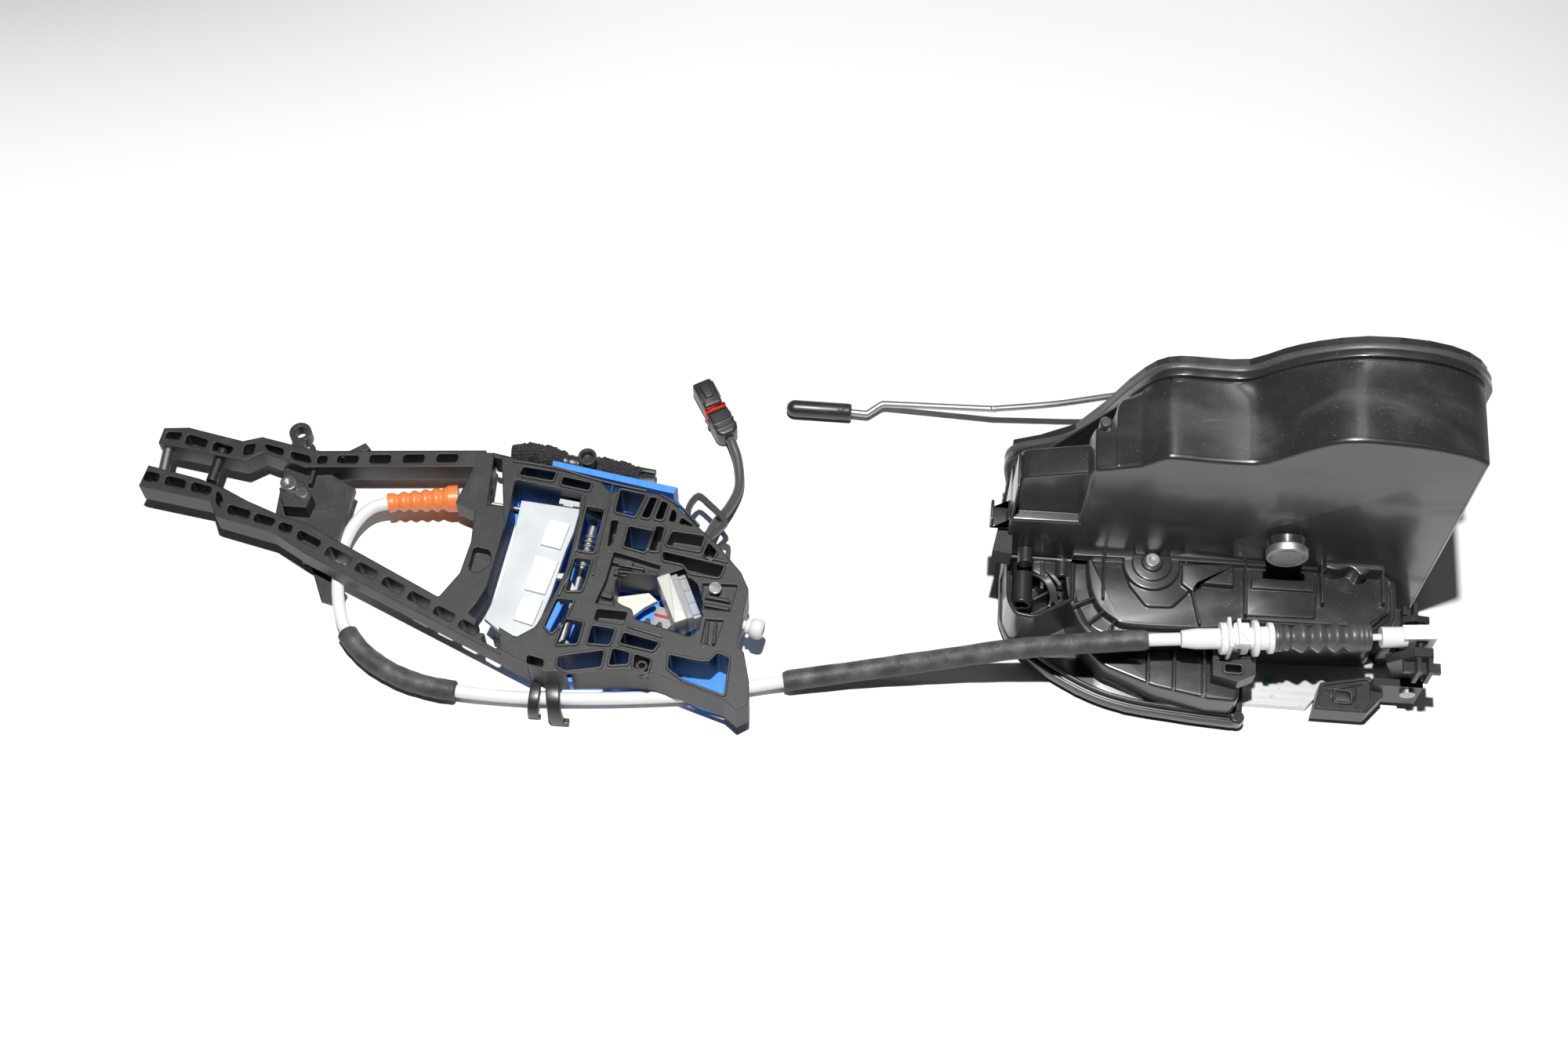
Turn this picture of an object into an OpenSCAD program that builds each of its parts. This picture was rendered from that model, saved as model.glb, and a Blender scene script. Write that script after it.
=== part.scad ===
// Car door lock: a latch standing on its steel face plate, the pull cable to the
// bracket of the outside handle, the lock knob rod and the pigtail with its plug.
// X runs along the row, Y away from the viewer, Z up from the table.

/* [Latch cover] */
// Y of the cover's flat front
face_y = 23; // [21:0.5:25]
// Depth of the tall box, front to gasket
cover_depth = 34; // [32:0.5:37]
// Wall of the cover
cover_wall = 2.4; // [1.8:0.1:3]
// Right side of the tall box
cover_right = 52; // [50:0.5:54]
// Height of the tread on the foot
ledge_z = 35; // [33:0.5:37]
// Height of the low tread in front of the foot
tread_z = 22; // [19:0.5:25]
// Height of the first wave on top
step_z = 116; // [113:0.5:118]
// Height of the second wave on top
hump_z = 137; // [134:0.5:140]
// Height of the foot's rim bead
bead_z = 8.5; // [7.5:0.5:10]
// Thickness of the rim flange at the back
flange_t = 3; // [2:0.5:4]
// How far the flange stands out beyond the box
flange_w = 4; // [3:0.5:5]

/* [Back shell] */
// Thickness of the foam gasket
gasket_t = 3; // [2:0.5:4]
// Thickness of the back shell
back_t = 3; // [2.5:0.5:4]
// Inside width of the plug socket
socket_w = 18; // [14:1:20]
// Depth of the plug socket
socket_depth = 13; // [10:1:15]

/* [Face plate] */
// Thickness of the steel face plate
plate_t = 3; // [2.5:0.25:3.5]
// Width of the striker slot
slot_w = 13; // [11:0.5:14]
// X of the striker slot
slot_x = 15; // [14:0.5:16]
// Thread of the three fixing holes
fixing_d = 6; // [5:0.5:8]

/* [Catch] */
// Radius of the rotary catch
fork_r = 24; // [23:0.5:25]
// Thickness of the catch and pawl
fork_t = 6; // [4:0.5:7]
// Diameter of the catch's rivet
fork_pin_d = 9; // [7:0.5:10]
// Diameter of the pawl's rivet
pawl_pin_d = 7; // [6:0.5:8]

/* [Release lever] */
// Height of the pull cable at the latch
cable_z = 38; // [37:0.5:39]
// X of the release lever's pivot
release_x = 47; // [46:0.5:48]
// Height of the release lever's pivot
release_z = 14; // [13:0.5:16]
// Diameter of the release lever's pivot pin
release_pin_d = 4; // [3:0.5:5]

/* [Lock drive] */
// X of the lock lever's shaft
lock_x = -10; // [-12:0.5:-8]
// Height of the lock lever's shaft
lock_z = 72; // [70:0.5:74]
// Diameter of the lock lever's shaft
lock_shaft_d = 8; // [6:0.5:9]
// Length of the lock lever's arm
lock_arm = 20; // [18:0.5:22]
// Module of the gear teeth
gear_module = 1; // [0.9:0.05:1.1]
// Diameter of the motor
motor_d = 24; // [20:0.5:26]

/* [Lock rod] */
// Diameter of the lock rod
rod_d = 2.8; // [2.4:0.1:3.2]
// Diameter of the rod's end sleeve
tip_d = 7; // [6:0.5:8]
// Length of the rod's end sleeve
tip_l = 25; // [20:1:30]

/* [Cable] */
// Diameter of the cable's conduit
conduit_d = 5; // [4.5:0.25:5.5]
// Diameter of the foam sleeves
sleeve_d = 8; // [7:0.25:9]
// Diameter of the inner wire
wire_d = 1.6; // [1.2:0.1:2]
// Diameter of the bellows' crests
bellows_d = 11.5; // [10:0.5:12.5]
// Diameter of the orange boot's crests
boot_d = 11; // [9:0.5:12]

/* [Handle bracket] */
// Underside of the ladder rails
rail_bottom = 9; // [8:0.5:10]
// Top of the ladder rails
rail_top = 20; // [19:0.5:22]
// Floor left in the rails' pockets
pocket_floor = 2.5; // [1.5:0.5:4]
// Top of the bracket's body
body_top = 26; // [25:0.5:28]
// Top of the guard tray and underside of the body
body_bottom = 8; // [7:0.5:8.5]
// Floor of the guard tray
tray_t = 1.6; // [1.2:0.1:2]
// Wall of the guard tray
tray_wall = 1.8; // [1.4:0.1:2.4]
// Diameter of the two cross pins in the fork end
cross_pin_d = 4.6; // [4:0.2:5.4]

/* [Handle lever] */
// Height of the handle lever's shaft
lever_z = 6; // [5.5:0.25:6.5]
// Diameter of the handle lever's shaft
lever_pin_d = 4; // [3:0.25:4.5]
// Top of the handle lever's plate
lever_top = 17; // [16:0.5:18]
// Thickness of the handle lever's plate
lever_t = 3; // [2:0.25:3.5]

/* [Pigtail] */
// Width of the plug
plug_w = 9.5; // [8:0.5:11]
// Length of the plug
plug_l = 28; // [24:1:32]

/* [Hidden] */
$fn = 48;
gap = 0.3;
fit = 0.05;
eps = 0.01;

// Latch places that follow from the sizes above
back_y = face_y + cover_depth;
gasket_y = back_y + flange_t;
shell_y = gasket_y + gasket_t;
shell_back = shell_y + back_t;
low_left = -110;
step_left = -68;
side_left = -86;
cover_bottom = plate_t;

// Front outline of the tall box in X and Z, with the two waves on top
wave = [
  [cover_right, hump_z - 11], [45, hump_z - 6], [30, hump_z - 1.5], [10, hump_z],
  [-3, hump_z - 3], [-16, (hump_z + step_z) / 2 - 2], [-28, step_z], [-44, step_z - 1],
  [-58, step_z], [-63.5, step_z - 2.5], [step_left, step_z - 7]
];
tall_outline = concat([[low_left, cover_bottom], [cover_right, cover_bottom]], smooth(wave, 3),
                      [[side_left + 1, step_z - 13], [side_left, 64], [low_left, 64]]);
inner_outline = concat([[side_left, cover_bottom], [cover_right, cover_bottom]], smooth(wave, 3),
                       [[step_left, 66], [side_left, 60]]);

// Outline of the rim at the back in X and Z
rim_wave = [
  [cover_right + flange_w, hump_z - 24], [cover_right + 3, hump_z - 14],
  [46, hump_z - 4], [30, hump_z + 2], [8, hump_z + 2.5], [-9, hump_z - 3],
  [-20, (hump_z + step_z) / 2 + 1], [-31, step_z + 2.5], [-44, step_z + 1.5],
  [-56, step_z + 1.5], [-64.5, step_z - 3], [-73, step_z - 18], [-89, 62], [-112, 46]
];
rim_outline = concat([[-112, cover_bottom], [cover_right + flange_w, cover_bottom]],
                     smooth(rim_wave, 2));

// Outlines of the foot seen from above
foot_outline = [
  [-86, face_y + 2], [-85, 12], [-80, 1], [-72, -5], [-65, -7.5], [-54, -8], [-31, -5.5],
  [-19, -1.5], [31, 0], [38, 7], [38, face_y + 2]
];
tread_outline = [
  [-86, 4], [-80, -11], [-71, -19], [-50, -26], [-31, -29], [-19, -29.5], [-18, -9],
  [-31, -5], [-70, -4]
];
base_outline = [
  [-112, back_y], [-112, 18], [-111, 4], [-102.5, -9], [-80, -22.5], [-61, -28.5],
  [-36, -31], [-19, -32], [-15.5, -29], [-15, -9], [38, -3], [cover_right, 3],
  [cover_right, back_y]
];
tub_outline = [
  [-111, face_y + 2], [-110.5, 4], [-107, -3], [-99, -4], [-84, 5], [-84, face_y + 2]
];

// The screw in the foot's half-round boss
screw_at = [-55.3, 19.5];
screw_top = ledge_z + 5;
screw_d = 3;

// Centre of the round steel cap in X and Z
cap_at = [-6.8, 57.4];
cap_d = 16;

// Corner of the plug socket in X and Z
socket_x = 24;
socket_z = 84;

// The catch turns about its rivet; the jaw's seat lies jaw_rise in front of or behind it
fork_at = [-1, 29];
jaw_rise = 9;
fork_z = plate_t + 4;
pawl_at = [-43, 17];
pawl_tip = [-26.2, 27];
mech_z = fork_z + fork_t + 3;
mech_t = 2;

// Fixing holes of the face plate
fixing_places = [[-44, 4], [-44, 46], [42, 46]];

// Handle bracket outlines seen from above
upper_arm = [
  [-455, 51.5], [-432, 48], [-419, 46], [-412, 50.5], [-394, 45], [-384, 46],
  [-328, 50.5], [-322, 50.5], [-322, 58.5], [-389, 53], [-401, 55], [-413.5, 57.5],
  [-421, 55], [-444, 59.5], [-454, 58.5]
];
lower_arm = [
  [-459, 31.5], [-429, 27], [-426, 20.5], [-402, 15], [-387, 6.5], [-304, -31],
  [-299, -24], [-319, -14], [-332, -8], [-390, 20.5], [-398, 22], [-414, 28],
  [-424.5, 33], [-435, 36.5], [-457, 41]
];
mid_plate = [[-404, 16], [-381, 5], [-377, 17], [-374, 41], [-386, 47], [-404, 51]];
arch = [
  [-333, -8], [-319, -15], [-302, -28], [-309, 0], [-308, 20], [-308, 34], [-323, 34],
  [-322.5, 17], [-325, 3], [-331.5, -7.5]
];
seat_wall = [[-331, 34], [-323, 31], [-318.5, 31], [-318.5, 57.5], [-323, 57.5], [-326, 51]];
body_outline = [
  [-304, -31], [-286, -39], [-255, -35.5], [-244, -36], [-216, -45], [-211, -49],
  [-206.5, -46], [-207, -37], [-210, -25], [-213, -22], [-210.5, 2], [-214, 9], [-224, 20],
  [-247, 40.5], [-264, 42.5], [-269, 40], [-274, 45.5], [-297, 50], [-314.5, 53.5],
  [-309, 20], [-309, 0]
];

// Handle lever frame: its shaft runs along its own Y axis
carrier_at = [-300, 10];
carrier_tilt = -7.5;
shaft_x = 20;
shaft_front = -33.2;
shaft_back = 32.2;
bearing_t = 2.8;
wire_y = 26;
wire_z = lever_z + 6;
lever_plate = [
  [-9, 27.5], [-8.5, 20], [-7.5, 6], [-7.5, -8], [-8, -15], [-10, -26], [-1.5, -30.5], [7, -31],
  [11.5, -23], [13, -10], [13.5, 2], [14, 10], [15, 18], [15, 28.5]
];

// Cable route, lowest where it lies on the table
cable_front = [-331.5, 40];
route = [
  [-331.5, 40, 12], [-345.5, 37.8, 12], [-359.5, 35.6, 12], [-367.5, 32.5, 10.5],
  [-373.5, 25, 8], [-376.5, 14.5, 5.5], [-376, 2.5, 5], [-373.5, -9, 5], [-369, -19, 5],
  [-360, -28.5, 5], [-348, -35.5, 5], [-335, -39.5, 5], [-322, -41, 5], [-304, -41.5, 4.5],
  [-285.5, -41, 4.5], [-255, -38.5, 4.5], [-224.5, -34.5, 4.5], [-209.5, -30.5, 4.5],
  [-194.5, -27, 5.5], [-164, -21.5, 9], [-134, -17.5, 16], [-104, -14.5, 25],
  [-74.5, -13.4, 33.5], [-56, -12.7, cable_z - 0.6], [-44.3, -11.7, cable_z]
];
conduit_points = smooth(route, 2);
front_foam_from = 16;
front_foam_to = 24;
rear_foam_from = 36;
rear_foam_to = 46;
cable_y = -11.6;
cable_tilt = 5;
stem_d = 2.6;
abutment_x = -44;
abutment_l = 35;
bellows_l = 37;
eye_x = (release_x - abutment_x) / cos(cable_tilt);
slider_x = abutment_l + bellows_l;

lever_front = -13;
lever_back = 3.6;
lug_y = lever_back + gap;
lug_t = 2.6;

// Lock rod from its sleeve to the lock lever's slot
arm_y = shell_back + 2;
arm_t = 2.6;
rod_y = arm_y + arm_t + gap + rod_d / 2;
arm_end_z = lock_z - lock_arm;
rod_points = [
  [-178, 97, 4], [-175, 97, 4], [-171.5, 97.4, 4], [-167, 100, 4.5], [-162, 101, 5], [-118, 99, 11],
  [-92, 99.5, 18], [-66, 99.5, 29], [-50, 96, 38], [-36, 89, 46], [-24, rod_y + 6, arm_end_z - 1],
  [-17, rod_y + 1, arm_end_z]
];
rod_hook = [
  [lock_x - 4, rod_y, arm_end_z], [lock_x - 1.2, rod_y - 0.5, arm_end_z],
  [lock_x, rod_y - 2, arm_end_z], [lock_x, arm_y - 0.6, arm_end_z]
];

// Gear pair between the motor and the lock lever
wheel_teeth = 40;
pinion_teeth = 10;
gear_y = back_y - 7;
gear_t = 4;
pinion_x = lock_x + gear_module * (wheel_teeth + pinion_teeth) / 2 + 0.1;
shaft_inner_y = face_y + cover_wall + 8;

// Plug lying on the table and the cord up to the bracket
plug_at = [-232.3, 92];
plug_turn = -59.7;
cord_from = plug_at + (plug_l / 2 + gap) * [cos(plug_turn), sin(plug_turn)];
cord_points = [
  [cord_from[0], cord_from[1], 5], [-223.8, 77.3, 5], [-221, 70, 4], [-219.5, 58.5, 3.5],
  [-222.5, 47.5, 6], [-227, 38, 10], [-229.2, 31.4, 12.2], [-232.4, 27.8, 12.4]
];

// Helpers
function unit(v) = v / norm(v);
function spline(a, b, c, d, t) = 0.5 * ((2 * b) + (c - a) * t
  + (2 * a - 5 * b + 4 * c - d) * t * t + (3 * b - a - 3 * c + d) * t * t * t);
function smooth(p, steps) = concat([for (i = [0 : len(p) - 2], j = [0 : steps - 1])
  spline(p[max(i - 1, 0)], p[i], p[i + 1], p[min(i + 2, len(p) - 1)], j / steps)],
  [p[len(p) - 1]]);
function inset_point(p, i, d) = let (n = len(p), u = unit(p[i] - p[(i + n - 1) % n]),
  v = unit(p[(i + 1) % n] - p[i])) p[i] + d * [-u[1] - v[1], u[0] + v[0]] / (1 + u * v);
function inset(p, d) = [for (i = [0 : len(p) - 1]) inset_point(p, i, d)];
function part(p, from, to) = [for (i = [from : to]) p[i]];
function clipped(p, c) = [for (i = [0 : len(p) - 1]) let (a = p[(i + len(p) - 1) % len(p)],
  b = p[(i + 1) % len(p)]) each [p[i] + c * unit(a - p[i]), p[i] + c * unit(b - p[i])]];

// Rings of points round a path, each square to it; ref is never along the path
function ring(p, i, r, sides, ref) = let (
  t = unit(p[min(i + 1, len(p) - 1)] - p[max(i - 1, 0)]), s = unit(cross(ref, t)), u = cross(t, s))
  [for (k = [0 : sides - 1]) p[i] + r * (cos(360 * k / sides) * s + sin(360 * k / sides) * u)];
function skin(rings, sides, flip) = [for (i = [0 : rings - 2], k = [0 : sides - 1])
  let (a = i * sides + k, b = i * sides + (k + 1) % sides)
  each flip ? [[a, a + sides, b + sides], [a, b + sides, b]]
            : [[a, b, b + sides], [a, b + sides, a + sides]]];

module tube(p, r, sides = 10, ref = [0, 0, 1]) {
  n = len(p);
  points = [for (i = [0 : n - 1]) each ring(p, i, r, sides, ref)];
  start = [for (k = [sides - 1 : -1 : 0]) k];
  end = [for (k = [0 : sides - 1]) (n - 1) * sides + k];
  polyhedron(points, concat([start], skin(n, sides, false), [end]), convexity = 6);
}

// A swept sleeve with a hole along it
module sleeve(p, outer, inner, sides = 10) {
  n = len(p);
  m = n * sides;
  points = concat([for (i = [0 : n - 1]) each ring(p, i, outer, sides, [0, 0, 1])],
                  [for (i = [0 : n - 1]) each ring(p, i, inner, sides, [0, 0, 1])]);
  ends = [for (k = [0 : sides - 1]) let (j = (k + 1) % sides, e = (n - 1) * sides)
    each [[k, k + m, j + m, j], [k + e, j + e, j + m + e, k + m + e]]];
  inside = [for (f = skin(n, sides, true)) [for (v = f) v + m]];
  polyhedron(points, concat(skin(n, sides, false), inside, ends), convexity = 6);
}

// A helix along the Z axis
module coil(turns, radius, wire, length) {
  steps = 12;
  tube([for (i = [0 : turns * steps]) [radius * cos(360 * i / steps),
       radius * sin(360 * i / steps), length * i / (turns * steps)]], wire / 2, 6);
}

module block(from, to) {
  translate(from) cube(to - from);
}

// Extrudes an outline given in X and Z along Y
module upright(y0, y1) {
  translate([0, y1, 0]) rotate([90, 0, 0]) linear_extrude(y1 - y0) children();
}

module slab(outline, z0, z1) {
  translate([0, 0, z0]) linear_extrude(z1 - z0) polygon(outline);
}

// A cylinder along Y
module y_rod(x, z, d, y0, y1) {
  translate([x, y0, z]) rotate([-90, 0, 0]) cylinder(h = y1 - y0, d = d);
}

// A cylinder along X
module x_rod(y, z, d, x0, x1) {
  translate([x0, y, z]) rotate([0, 90, 0]) cylinder(h = x1 - x0, d = d);
}

// The straight end of the cable at the latch, along its own X axis
module at_cable() {
  translate([abutment_x, cable_y, cable_z]) rotate(cable_tilt) children();
}

module in_carrier() {
  translate([carrier_at[0], carrier_at[1], 0]) rotate(carrier_tilt) children();
}

// One gear outline; the teeth are a little thin so that they run freely
module gear_outline(teeth, first, last, bore) {
  m = gear_module;
  root = m * (teeth / 2 - 1.2);
  tip = m * (teeth / 2 + 0.75);
  foot = m * 0.78;
  crown = m * 0.3;
  difference() {
    union() {
      circle(r = root);
      for (k = [first : last]) rotate(k * 360 / teeth)
        polygon([[root - 0.4, -foot], [tip, -crown], [tip, crown], [root - 0.4, foot]]);
    }
    circle(d = bore);
  }
}

// The moulded tall box with its flanged rim
module latch_cover() {
  color("#17181a") difference() {
    union() {
      upright(face_y, back_y - 12) polygon(tall_outline);
      upright(face_y, back_y) polygon(inner_outline);
      upright(back_y - 12 - eps, back_y) intersection() {
        polygon(tall_outline);
        polygon(inset(rim_outline, flange_w));
      }
      difference() {
        upright(back_y, gasket_y) polygon(rim_outline);
        upright(back_y - 1, gasket_y + 1) polygon(inset(rim_outline, flange_w + cover_wall));
      }
      intersection() {
        slab(base_outline, cover_bottom, bead_z - 2.5);
        block([low_left - flange_w, face_y, 0], [cover_right + flange_w, back_y, bead_z]);
      }
      corner_block();
      y_rod(cap_at[0], cap_at[1], cap_d - 3, face_y - 4, face_y + 1);
      y_rod(-104, ledge_z, 6, 17, face_y + 1);
      side_lug();
    }
    cover_hollow();
    mechanism_room();
  }
  color("#17181a") shaft_bearing();
}

// The low foot in front of the tall box: two treads, the tub and the beaded rim
module foot_cover() {
  color("#17181a") difference() {
    union() {
      slab(foot_outline, cover_bottom, ledge_z);
      slab(tread_outline, cover_bottom, tread_z);
      slab(base_outline, cover_bottom, bead_z - 2.5);
      slab(tub_outline, cover_bottom, ledge_z - 4);
      difference() {
        slab(base_outline, cover_bottom, bead_z);
        slab(inset(base_outline, 3.5), bead_z - 3, bead_z + 1);
        block([-14, -60, bead_z - 2.5], [cover_right + 9, back_y + 1, bead_z + 1]);
      }
      foot_relief();
      block([release_x - 5, lug_y, cover_bottom], [cover_right, lug_y + lug_t, release_z + 5]);
    }
    mechanism_room();
    tub_pocket();
    translate([screw_at[0], screw_at[1], ledge_z - 2]) cylinder(h = 10, d = screw_d + 2 * fit);
    y_rod(release_x, release_z, release_pin_d, 3, 8);
    block([low_left - 10, face_y, 0], [cover_right + 10, back_y + 1, step_z]);
  }
  color("#17181a") difference() {
    tub_tubes();
    block([low_left - 10, face_y, 0], [cover_right + 10, back_y + 1, step_z]);
  }
}

// The open lug on the cover's left side
module side_lug() {
  difference() {
    block([-119.5, face_y + 1, 48], [low_left + 1, face_y + 10, 57]);
    block([-121, face_y + 3, 50.5], [-113, face_y + 8, 58]);
  }
}

// The block on the upper left shoulder and the stepped notch beside it
module corner_block() {
  upright(face_y - 1, face_y + 15)
    polygon([[-109, 62], [-84, 62], [-85, step_z - 17], [-87, step_z - 16], [-108.5, 92]]);
  block([-86, face_y + 8, step_z - 24], [-74, face_y + 20, step_z - 14]);
  y_rod(-75, step_z - 13, 4, face_y + 6, face_y + 22);
}

// Bosses, ribs and the raised panel on the foot's tread
module foot_relief() {
  slab([[-64.5, face_y + 1], [-64, 11], [-57, 2], [-47, 2.5], [-41, 9], [-38, 13], [-23.5, 13],
        [-23.5, face_y + 1]], ledge_z - 1, ledge_z + 1.2);
  intersection() {
    translate([screw_at[0], screw_at[1], ledge_z - 1]) cylinder(h = 4, d = 23);
    block([-70, 0, ledge_z - 1], [-40, face_y + 1, ledge_z + 9]);
  }
  translate([screw_at[0], screw_at[1], ledge_z - 1]) cylinder(h = screw_top - ledge_z + 1, d = 8);
  slab([[-18.5, face_y + 1], [-19, 1], [7.5, 2], [9.5, face_y + 1]], ledge_z - 1, ledge_z + 2);
  for (rib = [[-74, 5], [-18.6, 1.5], [10, 8], [33, 10]])
    block([rib[0], rib[1], ledge_z - 1], [rib[0] + 1.4, face_y + 1, ledge_z + 4]);
  translate([-39.5, 11, 0]) rotate(15) block([0, -12, ledge_z - 1], [1.4, 13, ledge_z + 3]);
  for (x = [-55, -45]) block([x, -24.5, tread_z - 1], [x + 1.4, -6, tread_z + 3]);
  slab([[11, face_y - 2], [16, face_y - 3.5], [21, face_y - 2], [24, face_y - 4.5],
        [33, face_y - 2], [33, face_y + 1], [11, face_y + 1]], ledge_z - 1, ledge_z + 8);
}

// The hollow of the tall box, open at the back
module cover_hollow() {
  upright(face_y + cover_wall, gasket_y + 1) polygon(inset(inner_outline, cover_wall));
  upright(back_y - 12, gasket_y + 1) intersection() {
    polygon(inset(tall_outline, cover_wall));
    polygon(inset(rim_outline, flange_w + cover_wall));
  }
}

// The room of the catch above the face plate, open towards the striker
module mechanism_room() {
  block([-62, 0.5, cover_bottom - 1], [36, face_y + 10, ledge_z - cover_wall]);
  block([-62, face_y - 2, cover_bottom - 1], [cover_right - cover_wall, back_y - cover_wall,
        ledge_z - cover_wall]);
  block([slot_x - slot_w / 2 - 2, face_y, cover_bottom - 1],
        [slot_x + slot_w / 2 + 2, gasket_y + 1, fork_z + fork_t + 6]);
}

module tub_pocket() {
  slab(inset(tub_outline, 2.2), ledge_z - 20, ledge_z);
}

// Two screw tubes that lie in the tub, mouths to the front
module tub_tubes() {
  difference() {
    union() {
      y_rod(-104, ledge_z - 10, 8, 4, face_y + 1);
      block([-107, 6, ledge_z - 20.5], [-101, face_y + 1, ledge_z - 10]);
      y_rod(-89, ledge_z - 7, 6.5, 15, face_y + 1);
      block([-91, 16, ledge_z - 20.5], [-87, face_y + 1, ledge_z - 7]);
      block([-99, 10, ledge_z - 20.5], [-94, face_y + 1, ledge_z - 7]);
    }
    y_rod(-104, ledge_z - 10, 5, 3, 19);
    y_rod(-89, ledge_z - 7, 3.6, 14, 21);
    y_rod(-104, ledge_z, 3, 16, 21);
  }
}

// The bearing of the lock lever's shaft inside the tall box
module shaft_bearing() {
  difference() {
    y_rod(lock_x, lock_z, lock_shaft_d + 7, face_y + cover_wall - 0.5, gear_y - 1);
    y_rod(lock_x, lock_z, lock_shaft_d + 2 * fit, shaft_inner_y, gear_y);
  }
}

// The back shell closes the cover and carries the lever's bearing and the plug socket
module back_shell() {
  color("#1b1c1e") difference() {
    union() {
      upright(shell_y, shell_back) polygon(inset(rim_outline, 1));
      y_rod(lock_x, lock_z, lock_shaft_d + 8, shell_back - 1, shell_back + 1.4);
      block([socket_x - 2, shell_back - 1, socket_z - 2],
            [socket_x + socket_w + 2, shell_back + socket_depth, socket_z + 12]);
      for (x = [-92, -62, -36]) block([x, shell_back - 1, 12], [x + 2, shell_back + 2, 44]);
    }
    y_rod(lock_x, lock_z, lock_shaft_d + 2 * fit, shell_y - 1, shell_back + 3);
    block([socket_x, shell_back, socket_z],
          [socket_x + socket_w, shell_back + socket_depth + 1, socket_z + 10]);
    block([slot_x - slot_w / 2 - 2, shell_y - 1, cover_bottom - 1],
          [slot_x + slot_w / 2 + 2, shell_back + 3, fork_z + fork_t + 6]);
  }
}

// Contact blades standing in the plug socket
module plug_contacts() {
  color("#c9a24a") for (k = [0 : 4])
    translate([socket_x + socket_w * (k + 1) / 6, 0, 0])
      block([-0.4, shell_back, socket_z + 6.5], [0.4, shell_back + socket_depth - 4, socket_z + 8]);
}

module rim_gasket() {
  color("#2a2b2d") difference() {
    upright(gasket_y, shell_y) polygon(rim_outline);
    upright(gasket_y - 1, shell_y + 1) polygon(inset(rim_outline, flange_w + 1));
    block([-200, gasket_y - 1, 0], [200, shell_y + 1, cover_bottom + 22]);
  }
}

// The steel face plate with the striker slot open towards the back
module face_plate() {
  color("#d9dcde") difference() {
    slab([[-54, back_y], [-54, -4], [-44, -10], [-14, -21], [10, -21], [16, -14], [38, -14],
          [50, -4], [50, back_y]], 0, plate_t);
    striker_slot(-1, plate_t + 1);
    for (p = fixing_places) translate([p[0], p[1], -1]) cylinder(h = plate_t + 2, d = fixing_d);
    translate([fork_at[0], fork_at[1], -1]) cylinder(h = plate_t + 2, d = fork_pin_d - 2);
    translate([pawl_at[0], pawl_at[1], -1]) cylinder(h = plate_t + 2, d = pawl_pin_d - 2);
  }
}

module striker_slot(z0, z1) {
  seat_y = fork_at[1] - jaw_rise;
  translate([slot_x, seat_y, z0]) cylinder(h = z1 - z0, d = slot_w);
  block([slot_x - slot_w / 2, seat_y, z0], [slot_x + slot_w / 2, back_y + 20, z1]);
}

// The inner steel plate that holds the rivets' upper ends
module mechanism_plate() {
  color("#8d9092") difference() {
    slab([[-54, 50], [-54, 8], [-30, 4], [6, 4], [6, 50]], mech_z, mech_z + mech_t);
    translate([fork_at[0], fork_at[1], mech_z - 1]) cylinder(h = mech_t + 2, d = fork_pin_d - 2);
    translate([pawl_at[0], pawl_at[1], mech_z - 1]) cylinder(h = mech_t + 2, d = pawl_pin_d - 2);
  }
}

// A rivet with a shoulder between the two steel plates
module rivet(at, d) {
  translate([at[0], at[1], 0]) {
    translate([0, 0, plate_t]) cylinder(h = mech_z - plate_t, d = d);
    translate([0, 0, eps]) cylinder(h = mech_z + mech_t + 0.5, d = d - 2);
    translate([0, 0, mech_z + mech_t]) cylinder(h = 1.2, d = d);
  }
}

module fork_rivet() { color("#b5b8ba") rivet(fork_at, fork_pin_d); }
module pawl_rivet() { color("#b5b8ba") rivet(pawl_at, pawl_pin_d); }

// The rotary catch, drawn open: its jaw points at the striker's way in
module fork() {
  turn = 2 * atan2(jaw_rise, slot_x - fork_at[0]);
  color("#6f7375") translate([fork_at[0], fork_at[1], fork_z]) difference() {
    cylinder(h = fork_t, r = fork_r);
    translate([0, 0, -1]) cylinder(h = fork_t + 2, d = fork_pin_d + 2 * fit);
    translate([slot_x - fork_at[0], jaw_rise, -1]) {
      cylinder(h = fork_t + 2, d = slot_w + 0.6);
      block([-slot_w / 2 - 0.3, 0, 0], [slot_w / 2 + 0.3, 40, fork_t + 2]);
    }
    rotate(184 + turn) translate([fork_r - 4, -3, -1]) cube([6, 9, fork_t + 2]);
    rotate(120) translate([fork_r - 7, -14, -1]) cube([9, 28, fork_t + 2]);
  }
}

// The pawl rests beside the catch's rim and swings away from it
module pawl() {
  color("#6f7375") translate([0, 0, fork_z]) difference() {
    union() {
      translate([pawl_at[0], pawl_at[1], 0]) cylinder(h = fork_t, d = pawl_pin_d + 6);
      linear_extrude(fork_t) polygon([pawl_at + [-3, 5.5], pawl_at + [4, -5], pawl_tip + [0, -3.4],
                                      pawl_tip + [0.6, 1], pawl_tip + [-2, 3]]);
      linear_extrude(fork_t) polygon([pawl_at + [-6, 0], pawl_at + [-9, -12], pawl_at + [-4, -13],
                                      pawl_at + [4, -4]]);
    }
    translate([pawl_at[0], pawl_at[1], -1]) cylinder(h = fork_t + 2, d = pawl_pin_d + 2 * fit);
    translate([fork_at[0], fork_at[1], -1]) cylinder(h = fork_t + 2, r = fork_r + gap);
  }
}

module fork_spring() {
  color("#a9adaf") translate([fork_at[0], fork_at[1], fork_z + fork_t + 0.9])
    coil(1, fork_pin_d / 2 + 1.2, 1, 1.1);
}

module pawl_spring() {
  color("#a9adaf") translate([pawl_at[0], pawl_at[1], fork_z + fork_t + 0.9])
    coil(1, pawl_pin_d / 2 + 1.1, 1, 1.1);
}

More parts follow.
